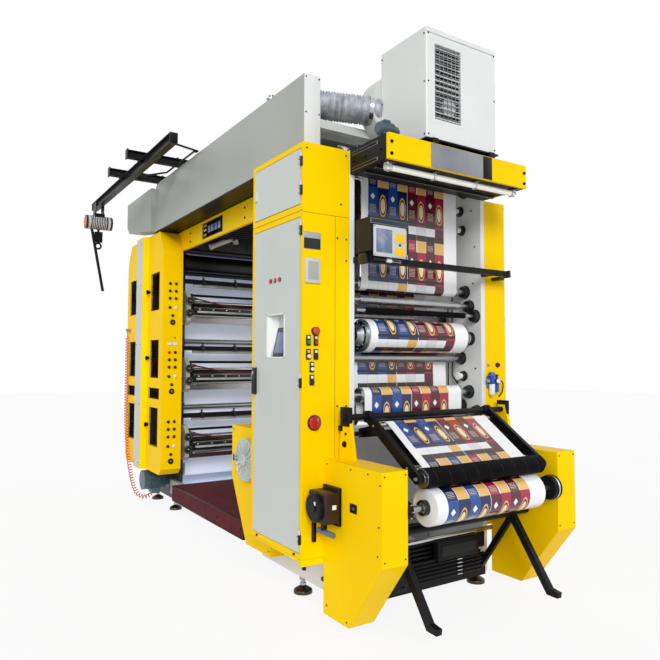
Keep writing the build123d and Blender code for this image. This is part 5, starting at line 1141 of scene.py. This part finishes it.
class PRESS_OT_hood_fittings(bpy.types.Operator):
    """Adds the bare plate, bolts and lamp clips of the hood, and the fan box's grille and duct wires"""
    bl_idname = "press.hood_fittings"
    bl_label = "Hood and fan fittings"

    def execute(self, context):
        bm = bmesh.new()
        slab(bm, (-281, -415.5, 2915), (186, -411, 3072), 1.2)
        slab(bm, (187, -414.5, 2915), (276, -411, 3072), 1.2, 1)
        for x, z in product((-602, 602), (3020, 2945)):
            hex_bolt(bm, at(x, -412, z), FRONT, 18, 1)
        for x in (-560, -190, 190, 560):
            slab(bm, (x - 16, -375, 2904), (x + 16, -300, 2913), 2, 1)
            slab(bm, (x - 9, -354, 2862), (x + 9, -312, 2912), 3, 2)
        for side in (-1, 1):
            turned(bm, at(side * 588, -333, 2885), RIGHT * side,
                   [(-42, 21.5), (0, 21.5), (6, 16), (6, 0)], 3)
            slab(bm, (side * 618, -300, 2926), (side * 628, -20, 2950), 3, 1)
            slab(bm, (side * 618, -300, 3030), (side * 628, -20, 3054), 3, 1)
            for y in (-330, -170, -40):
                hex_bolt(bm, at(side * 625, y, 2990), RIGHT * side, 16, 4)
        for y in (-240, -120):
            slab(bm, (-600, y - 12, 2898), (600, y + 12, 2912), 2, 1)
        slab(bm, (-612, -60, 3076), (612, -20, 3104), 3, 1)
        slab(bm, (-612, -360, 3076), (-300, -330, 3092), 3, 1)
        finish_piece("hood_plate_bolts_and_lamp_clips", bm, [
            "bare_zinc_plate", "black_paint", "white_plastic", "panel_bezel_grey", "dark_steel"])
        bm = bmesh.new()
        slab(bm, (-228, -342, 3237), (53, -340, 3787), 0.5)
        turned(bm, at(-60, -341.5, 3372), FRONT, [(0, 62), (6, 62), (9, 50), (9, 0)], 1, 32)
        turned(bm, at(-150, -341.5, 3660), FRONT, [(0, 46), (5, 46), (8, 30), (8, 0)], 2, 32)
        slab(bm, (-180, -345, 3420), (-40, -341, 3600), 3, 4)
        for k in range(7):
            x = -230 + 285 * (k + 1) / 8
            slab(bm, (x - 2, -366, 3262), (x + 2, -362, 3762), 1, 3)
        for k in range(27):
            z = 3265 + 497 * k / 26
            slab(bm, (-205, -368, z - 1.6), (30, -365, z + 1.6), 0.8, 3)
        heights = (3150, 3500, 3822)
        for x, z in product((-262, 349), heights):
            socket_screw(bm, at(x, -369, z), FRONT, 5, 4)
        for y, z in product((-350, 98), heights):
            socket_screw(bm, at(-278, y, z), LEFT, 5, 4)
            socket_screw(bm, at(365, y, z), RIGHT, 5, 4)
        slab(bm, (-290, -381, 3112), (377, 128, 3124), 2, 5)
        finish_piece("fan_grille_and_screws", bm, [
            "deep_shadow_paint", "panel_bezel_grey", "blue_motor_paint", "bright_steel", "dark_steel",
            "black_paint"])
        start, end = at(-694, 370, 3500), at(-311, 196, 3476)
        axis = (end - start).normalized()
        length = (end - start).length / MM
        bm = bmesh.new()
        for k in range(21):
            turned(bm, start + axis * ((6 + (length - 12) * k / 20) * MM), axis,
                   [(-3, 99.5), (-1.5, 102.5), (1.5, 102.5), (3, 99.5)], 0, 40)
        turned(bm, start, axis, [(-2, 106), (26, 106)], 1, 40)
        turned(bm, end, axis, [(-22, 106), (6, 106)], 1, 40)
        finish_piece("duct_wires_and_clamps", bm, ["duct_foil", "bright_steel"])
        bm = bmesh.new()
        turned(bm, at(-640, -330, 3122.5), RIGHT, [
            (-2, 30), (6, 40), (10, 40.5), (104, 40.5), (110, 33), (140, 30), (142, 14), (160, 14),
            (160, 0)], 0, 36)
        for k in range(10):
            turned(bm, at(-624 + 9 * k, -330, 3122.5), RIGHT, [(0, 43), (4, 43)], 0, 36)
        slab(bm, (-612, -356, 3158), (-560, -304, 3176), 4)
        finish_piece("hood_motor_shell", bm, ["blue_motor_paint"])
        bm = bmesh.new()
        turned(bm, at(-760, 880, 3655), UP, [
            (0, 34), (8, 34), (10, 16), (30, 16), (32, 26), (56, 26), (58, 12), (70, 12), (72, 22),
            (78, 22), (79, 0)])
        slab(bm, (-798, 868, 3690), (-722, 892, 3708), 4, 1)
        finish_piece("plenum_valve", bm, ["bright_steel", "blue_motor_paint"])
        bm = bmesh.new()
        for side in (-1, 1):
            slab(bm, (side * 695, 263, 3120), (side * 825, 266.4, 3653), 1.5)
            for x, z in product((708, 812), (3136, 3386, 3636)):
                socket_screw(bm, at(side * x, 263, z), FRONT, 5, 1)
        finish_piece("plenum_end_plates", bm, ["pale_powder_coat", "dark_steel"])
        return {"FINISHED"}


class PRESS_OT_viewer_fittings(bpy.types.Operator):
    """Dresses the viewing unit and its rail"""
    bl_idname = "press.viewer_fittings"
    bl_label = "Viewing unit"

    def execute(self, context):
        bm = bmesh.new()
        slab(bm, (-574, -193, 2348), (-301, -185, 2551), 4)
        slab(bm, (-558, -195.5, 2372), (-424, -191, 2530), 2, 1)
        for low, high in ((2360, 2420), (2448, 2510)):
            slab(bm, (-407, -195.5, low), (-314, -191, high), 2, 2)
        turned(bm, at(-360, -191, 2434), FRONT, [(0, 9), (4, 9), (6, 6), (6, 0)], 3, 16)
        slab(bm, (-594, -188, 2560), (-281, -185, 2592), 2, 4)
        for x, z in product((-567, -308), (2356, 2543)):
            socket_screw(bm, at(x, -193, z), FRONT, 3.5, 3)
        for k in range(9):
            turned(bm, at(-560 + 11 * k, -164, 2332), RIGHT,
                   [(0, 15), (6, 15), (7, 11), (11, 11)], 3, 20)
        slab(bm, (-446, -168, 2318), (-404, -150, 2346), 3, 5)
        slab(bm, (-400, -166, 2322), (-330, -150, 2342), 3, 3)
        finish_piece("viewing_unit_front", bm, ["panel_bezel_grey", "screen_dusk", "yellow_plastic",
                                                "black_plastic", "navy_plastic", "white_plastic"],
                     "viewing_unit")
        bm = bmesh.new()
        slab(bm, (-606, -140, 2304), (-574, -64, 2372), 4)
        slab(bm, (752, -134, 2312), (774, -76, 2366), 4)
        slab(bm, (700, -80, 2296), (762, 0.2, 2320), 3, 1)
        for x in (-560, 640, 720):
            hex_bolt(bm, at(x, -125, 2340), FRONT, 15, 2)
        slab(bm, (-590, -88, 2357), (750, -82, 2364), 1, 2)
        finish_piece("viewing_rail_ends", bm, ["black_plastic", "brown_bronze_paint", "dark_steel"])
        return {"FINISHED"}


class PRESS_OT_winder_fittings(bpy.types.Operator):
    """Adds the blocks, bolts, chucks, drive shell and guard bars of the winder"""
    bl_idname = "press.winder_fittings"
    bl_label = "Winder fittings"

    def execute(self, context):
        bm = bmesh.new()
        for side in (-1, 1):
            slab(bm, (side * 700.1, -140, 1262), (side * 733, -44, 1382), 5)
            turned(bm, at(side * 733, *PRESS_ARM_AXIS), RIGHT * side,
                   [(0, 30), (8, 30), (10, 20), (16, 18), (16, 0)], 0)
            slab(bm, (side * 700.1, -62, 1228), (side * 727, -16, 1262), 3)
            turned(bm, at(side * 724, -86, 1150), RIGHT * side,
                   [(0, 20), (6, 20), (8, 12), (14, 12), (15, 0)], 0)
            hex_bolt(bm, at(side * 724, -100, 1215), RIGHT * side, 14, 1)
            for y in (-160, -60):
                hex_bolt(bm, at(side * 712, y, 1055), UP, 14, 1)
            slab(bm, (side * 634, 60, 1120), (side * 662, 0.2, 1240), 3)
        finish_piece("press_bar_blocks", bm, ["black_paint", "dark_steel"])
        bm = bmesh.new()
        pivot_y, pivot_z = PRESS_ARM_AXIS
        arm_y, arm_z = RUBBER_ROLLER_AXIS[0] - pivot_y, RUBBER_ROLLER_AXIS[1] - pivot_z
        for side in (-1, 1):
            for share, size in ((0.0, 22), (0.16, 12), (0.84, 12), (1.0, 20)):
                hex_bolt(bm, at(side * 560, pivot_y + arm_y * share, pivot_z + arm_z * share),
                         RIGHT * side, size, 1)
            turned(bm, at(side * 530, *PRESS_ARM_AXIS), RIGHT * -side,
                   [(0, 31), (26, 31), (28, 27), (28, 21)], 0)
        turned(bm, at(-500, *PRESS_ARM_AXIS), RIGHT, [(0, 20.6), (1000, 20.6)], 0, 24)
        finish_piece("press_arm_bolts_and_collars", bm, ["black_paint", "bright_steel"], "press_arm")
        bm = bmesh.new()
        for side in (-1, 1):
            turned(bm, at(side * 510.1, *RUBBER_ROLLER_AXIS), RIGHT * side,
                   [(0, 56), (1.5, 55), (3, 30), (5, 30), (6, 22)], 0, 40)
        turns, steps = 9, 24
        ring = list(around(RUBBER_ROLLER_AXIS, 60, steps))
        count = turns * steps
        strip(bm, [(-500 + 1000 * k / count, *ring[k % steps]) for k in range(count + 1)], 0.9, 1, 6)
        finish_piece("rubber_roller_ends_and_spiral", bm, ["ground_steel", "black_plastic"],
                     "rubber_roller")
        bm = bmesh.new()
        hub = WINDING_AXIS
        turned(bm, at(-640, *hub), RIGHT, [(0, 60), (6, 60), (8, 53.5), (40.2, 53.5), (40.2, 30)], 0)
        for y, z in around(hub, 53, 8):
            slab(bm, (-618, y - 5, z - 5), (-602, y + 5, z + 5), 2, 1)
        turned(bm, at(680, *hub), LEFT, [
            (0, 84), (8, 84), (9, 79.5), (26, 79.5), (27, 83), (34, 83), (35, 79.5), (52, 79.5), (58, 72),
            (60.2, 50), (60.2, 30)], 0, 40)
        turned(bm, at(661, *hub), LEFT, [(0, 84.5), (12, 84.5)], 1, 40)
        slab(bm, (-827.5, -363, 779), (-824.8, -291, 834), 2)
        turned(bm, at(-827.5, -327, 806), LEFT, [(0, 9), (3, 9), (3, 0)], 1, 16)
        for y, z in ((-470, 1030), (-585, 982), (-573, 751), (-561, 589), (-40, 1030), (-40, 700),
                     (-40, 160), (-260, 130), (-300, 1030)):
            socket_screw(bm, at(-825, y, z), LEFT, 4.5, 2)
            socket_screw(bm, at(865, y, z), RIGHT, 4.5, 2)
        for x, z in product((-807, -658, 698, 847), (560, 1030)):
            socket_screw(bm, at(x, -600, z), FRONT, 4.5, 2)
        finish_piece("shaft_chucks_and_box_screws", bm, ["black_paint", "bright_steel", "dark_steel"])
        bm = bmesh.new()
        slab(bm, (-947.5, -207.5, 698), (-846, -22.5, 882), 6)
        for y, z in product((-190, -40), (716, 864)):
            hex_bolt(bm, at(-947.5, y, z), LEFT, 12, 2)
        slab(bm, (-898, -209.5, 782), (-866, -206, 812), 1.5, 1)
        turned(bm, at(-948, -115, 790), LEFT, [
            (0, 88), (6, 88), (8, 83.5), (14, 83.5), (16, 88), (24, 88), (27, 84), (29, 70), (24, 66),
            (24, 30), (34, 28), (34, 0)], 3, 48)
        slab(bm, (-978, -150, 806), (-974.5, -128, 830), 1, 1)
        for spot in around((-115, 790), 48, 5):
            turned(bm, at(-972, *spot), LEFT, [(0, 7), (5, 7), (6, 0)], 2, 12)
        slab(bm, (-849, -205, 676), (-826, -25, 906), 4, 3)
        slab(bm, (-918, -142, 640), (-888, -112, 706), 4, 3)
        turned(bm, at(-903, -62, 640), FRONT, [(0, 12), (4, 17), (170, 17), (178, 13), (180, 0)], 4, 24)
        slab(bm, (-930, -46, 560), (-905, -24, 700), 4, 3)
        finish_piece("winder_drive_shell", bm, ["drive_brown_paint", "white_plastic", "dark_steel",
                                                "black_paint", "grip_grey_blue"])
        bm = bmesh.new()
        strip(bm, [(-590, -80, 452), (590, -80, 452)], 16, 1)
        strip(bm, [(-590, -55, 560), (590, -55, 560)], 12, 2)
        slab(bm, (30, -120, 300), (420, -62, 430), 6)
        slab(bm, (60, -124, 330), (390, -119, 402), 2, 3)
        for x, z in product((-420, -300), (330, 372)):
            hex_bolt(bm, at(x, -62, z), FRONT, 26, 2)
        for k in range(5):
            z = 168 + 26 * k
            slab(bm, (-140, -74, z - 6), (500, -58, z + 6), 3)
            slab(bm, (250, -78, z - 5), (300, -60, z + 5), 2, 1)
            slab(bm, (440, -78, z - 7), (470, -60, z + 7), 2, 2)
        slab(bm, (-560, -40, 120), (-180, -22, 290), 4)
        for x, z in product((-530, -370, -210), (270, 150)):
            socket_screw(bm, at(x, -40, z), FRONT, 7, 2)
        finish_piece("foot_guard_bars", bm, ["black_paint", "bright_steel", "dark_steel",
                                             "deep_shadow_paint"])
        bm = bmesh.new()
        for side in (-1, 1):
            hex_bolt(bm, at(side * 540, *FORK_AXIS), RIGHT * side, 24, 1)
            turned(bm, at(side * 480, *FORK_AXIS), RIGHT * side, [(-14, 32), (6, 32), (8, 29)], 0)
        finish_piece("fork_pivot_collars", bm, ["black_paint", "dark_steel"], "forks")
        return {"FINISHED"}


class PRESS_OT_hoist_and_base_fittings(bpy.types.Operator):
    """Adds the hoist's covers and clamps, the brake disc's caliper, and the base's bolts and feet"""
    bl_idname = "press.hoist_and_base_fittings"
    bl_label = "Hoist, brake and base fittings"

    def execute(self, context):
        bm = bmesh.new()
        for y in (2786, 3487):
            for x in (-1225, -1175):
                slab(bm, (x - 18, y - 42, 3640), (x + 18, y + 42, 3657), 3)
                for off in (-24, 24):
                    hex_bolt(bm, at(x, y + off, 3657), UP, 16, 1)
            for x, off in product((-850, -780), (-20, 20)):
                hex_bolt(bm, at(x, y + off, 3735), UP, 18, 1)
        for y in (1857, 4853):
            out = 1 if y > 3000 else -1
            slab(bm, (-1236, y - out * 12, 3566), (-1164, y + out * 3, 3654), 3)
        strip(bm, [(-1180, 2069, 3640), (-860, 2240, 3668), (-860, 3075, 3668), (-1050, 3460, 3690)],
              10, 0)
        slab(bm, (-875, 2215, 3654), (-835, 2265, 3668), 3)
        finish_piece("hoist_clamps_and_brace", bm, ["black_paint", "dark_steel"])
        bm = bmesh.new()
        rail_x = -1200
        for side in (-1, 1):
            out = RIGHT * side
            turned(bm, at(rail_x + side * 100, *HOIST_DRUM_AXIS), out,
                   [(0, 84), (22, 84), (24, 86), (30, 86)], 1, 40)
            turned(bm, at(rail_x + side * 130, *HOIST_DRUM_AXIS), out,
                   [(0, 82), (16, 82), (24, 76), (28, 60), (28, 0)], 0, 40)
            for spot in around(HOIST_DRUM_AXIS, 50, 6):
                socket_screw(bm, at(rail_x + side * 158, *spot), out, 5, 2)
        for k in range(9):
            turned(bm, at(-1290 + 20 * k, *HOIST_DRUM_AXIS), RIGHT,
                   [(4, 82.6), (6, 85), (12, 85), (14, 82.6)], 1, 40)
        finish_piece("hoist_drum_covers", bm, ["orange_plastic", "panel_bezel_grey", "dark_steel"],
                     "hoist")
        bm = bmesh.new()
        disc = UNWIND_AXIS
        turned(bm, at(-885, *disc), LEFT,
               [(0, 46.5), (4, 46.5), (8, 40), (8, 24), (2, 22), (2, 0)], 0, 36)
        turned(bm, at(-869.2, *disc), LEFT, [(0, 165), (4, 165), (6, 160), (6, 150), (1, 148)], 0, 56)
        slab(bm, (-884, 1218, 880), (-838, 1262, 942), 6, 1)
        slab(bm, (-880, 1196, 892), (-872, 1222, 930), 2, 1)
        for spot in around(disc, 34, 6):
            hex_bolt(bm, at(-885, *spot), LEFT, 10, 2)
        for y, z in ((745, 1120), (1370, 1120), (1370, 680), (745, 290)):
            socket_screw(bm, at(-825, y, z), LEFT, 5, 2)
            socket_screw(bm, at(825, y, z), RIGHT, 5, 2)
        finish_piece("brake_disc_details", bm, ["cast_aluminium", "black_paint", "dark_steel"])
        bm = bmesh.new()
        for side in (-1, 1):
            for x, y in ((610, 100), (610, 615), (522.5, 3605), (522.5, 4251)):
                turned(bm, at(side * x, y, 0), UP,
                       [(0, 68), (14, 69), (24, 66), (35, 50), (44, 34), (50, 24), (52, 18)], 0, 40)
                turned(bm, at(side * x, y, 60), UP, [(0, 24), (12, 24), (14, 17)], 1, 6)
            for y in (560, 300):
                hex_bolt(bm, at(side * 630, y, 190), RIGHT * side, 30, 2)
            for y in (1500, 2000, 2500, 3000, 3180):
                hex_bolt(bm, at(side * 700, y, 265), RIGHT * side, 14, 2)
            slab(bm, (side * 699.8, 1452, 186), (side * 703, 3218, 196), 1.2, 3)
            slab(bm, (side * 688, 1452, 337), (side * 703, 3218, 346.5), 2, 3)
        slab(bm, (-702, 1447, 186), (702, 1450.2, 346.5), 1.2, 3)
        finish_piece("feet_and_base_bolts", bm, ["foot_bronze", "ground_steel", "dark_steel",
                                                 "black_paint"])
        return {"FINISHED"}


# How far the floor is lifted to white where the camera or a reflection sees it
FLOOR_WHITENING = 0.88
WORLD_STRENGTH = 0.4
WHITE = (1.0, 1.0, 1.0, 1.0)
# Each sun's name, strength, width in degrees and direction
SUNS = (("key", 1.9, 25, (0.42, 0.8, -0.43)), ("side", 0.45, 40, (0.9, 0.2, -0.35)),
        ("right", 0.3, 40, (-0.9, 0.3, -0.3)))


def seen_directly(tree):
    """1 for what the camera sees straight, in a reflection or through a pane, and else 0."""
    rays = add_node(tree, "ShaderNodeLightPath").outputs
    seen = rays["Is Camera Ray"]
    for other in ("Is Glossy Ray", "Is Transmission Ray"):
        seen = add_node(tree, "ShaderNodeMath", {0: seen, 1: rays[other]}, operation="MAXIMUM").outputs[0]
    return seen


class PRESS_OT_studio(bpy.types.Operator):
    """Adds the pale floor, the white surround and the soft lamps"""
    bl_idname = "press.studio"
    bl_label = "Studio"

    def execute(self, context):
        scene = context.scene
        material, tree, shader = new_material("pale_concrete")
        tint = mottle(tree, "#F7F7F7", "#EFEFEF", object_point(tree), 1500)
        tree.links.new(tint, shader.inputs["Base Color"])
        shader.inputs["Roughness"].default_value = 0.9
        share = add_node(tree, "ShaderNodeMath", {0: seen_directly(tree), 1: FLOOR_WHITENING},
                         operation="MULTIPLY")
        white = add_node(tree, "ShaderNodeEmission", {0: WHITE, 1: 1.0})
        blend = add_node(tree, "ShaderNodeMixShader", {0: share.outputs[0], 1: shader.outputs[0],
                                                       2: white.outputs[0]})
        tree.links.new(blend.outputs[0], tree.nodes["Material Output"].inputs[0])
        bm = bmesh.new()
        bmesh.ops.create_grid(bm, x_segments=4, y_segments=4, size=30.0)
        mesh = bpy.data.meshes.new("floor")
        bm.to_mesh(mesh)
        bm.free()
        mesh.materials.append(material)
        floor = bpy.data.objects.new("floor", mesh)
        scene.collection.objects.link(floor)
        world = bpy.data.worlds.new("studio")
        world.use_nodes = True
        tree = world.node_tree
        tree.nodes.clear()
        seen = seen_directly(tree)
        ambient = add_node(tree, "ShaderNodeBackground", {0: WHITE, 1: WORLD_STRENGTH})
        white = add_node(tree, "ShaderNodeBackground", {0: WHITE, 1: 1.0})
        mix = add_node(tree, "ShaderNodeMixShader", {0: seen, 1: ambient.outputs[0], 2: white.outputs[0]})
        add_node(tree, "ShaderNodeOutputWorld", {0: mix.outputs[0]})
        scene.world = world
        for name, strength, width, direction in SUNS:
            lamp = bpy.data.lights.new(name, "SUN")
            lamp.energy = strength
            lamp.angle = math.radians(width)
            holder = bpy.data.objects.new(name, lamp)
            holder.rotation_euler = Vector(direction).to_track_quat("-Z", "Y").to_euler()
            scene.collection.objects.link(holder)
        scene.view_settings.view_transform = "Standard"
        return {"FINISHED"}


OPERATORS = (
    PRESS_OT_camera, PRESS_OT_hoses, PRESS_OT_finishes, PRESS_OT_film, PRESS_OT_cabinet_fittings,
    PRESS_OT_cover_fittings, PRESS_OT_deck_fittings, PRESS_OT_bay_fittings, PRESS_OT_tower_fittings,
    PRESS_OT_hood_fittings, PRESS_OT_viewer_fittings, PRESS_OT_winder_fittings,
    PRESS_OT_hoist_and_base_fittings, PRESS_OT_studio)


class PRESS_PT_panel(bpy.types.Panel):
    """Lists the press's pieces with their sizes and colours"""
    bl_idname = "PRESS_PT_panel"
    bl_label = "Printing press"
    bl_space_type = "VIEW_3D"
    bl_region_type = "UI"
    bl_category = "Press"

    def draw(self, context):
        for group in (context.scene.press_sizes, context.scene.press_colours):
            for name in group.bl_rna.properties.keys():
                if name not in ("rna_type", "name"):
                    self.layout.prop(group, name)
        for operator in OPERATORS:
            self.layout.operator(operator.bl_idname)


CLASSES = (PressColours, PressSizes) + OPERATORS + (PRESS_PT_panel,)


def register():
    for cls in CLASSES:
        bpy.utils.register_class(cls)
    bpy.types.Scene.press_colours = bpy.props.PointerProperty(type=PressColours)
    bpy.types.Scene.press_sizes = bpy.props.PointerProperty(type=PressSizes)


def unregister():
    del bpy.types.Scene.press_sizes
    del bpy.types.Scene.press_colours
    for cls in reversed(CLASSES):
        bpy.utils.unregister_class(cls)


def main():
    """Makes every piece in order."""
    register()
    for operator in OPERATORS:
        group, name = operator.bl_idname.split(".")
        getattr(getattr(bpy.ops, group), name)()


if __name__ == "__main__":
    main()
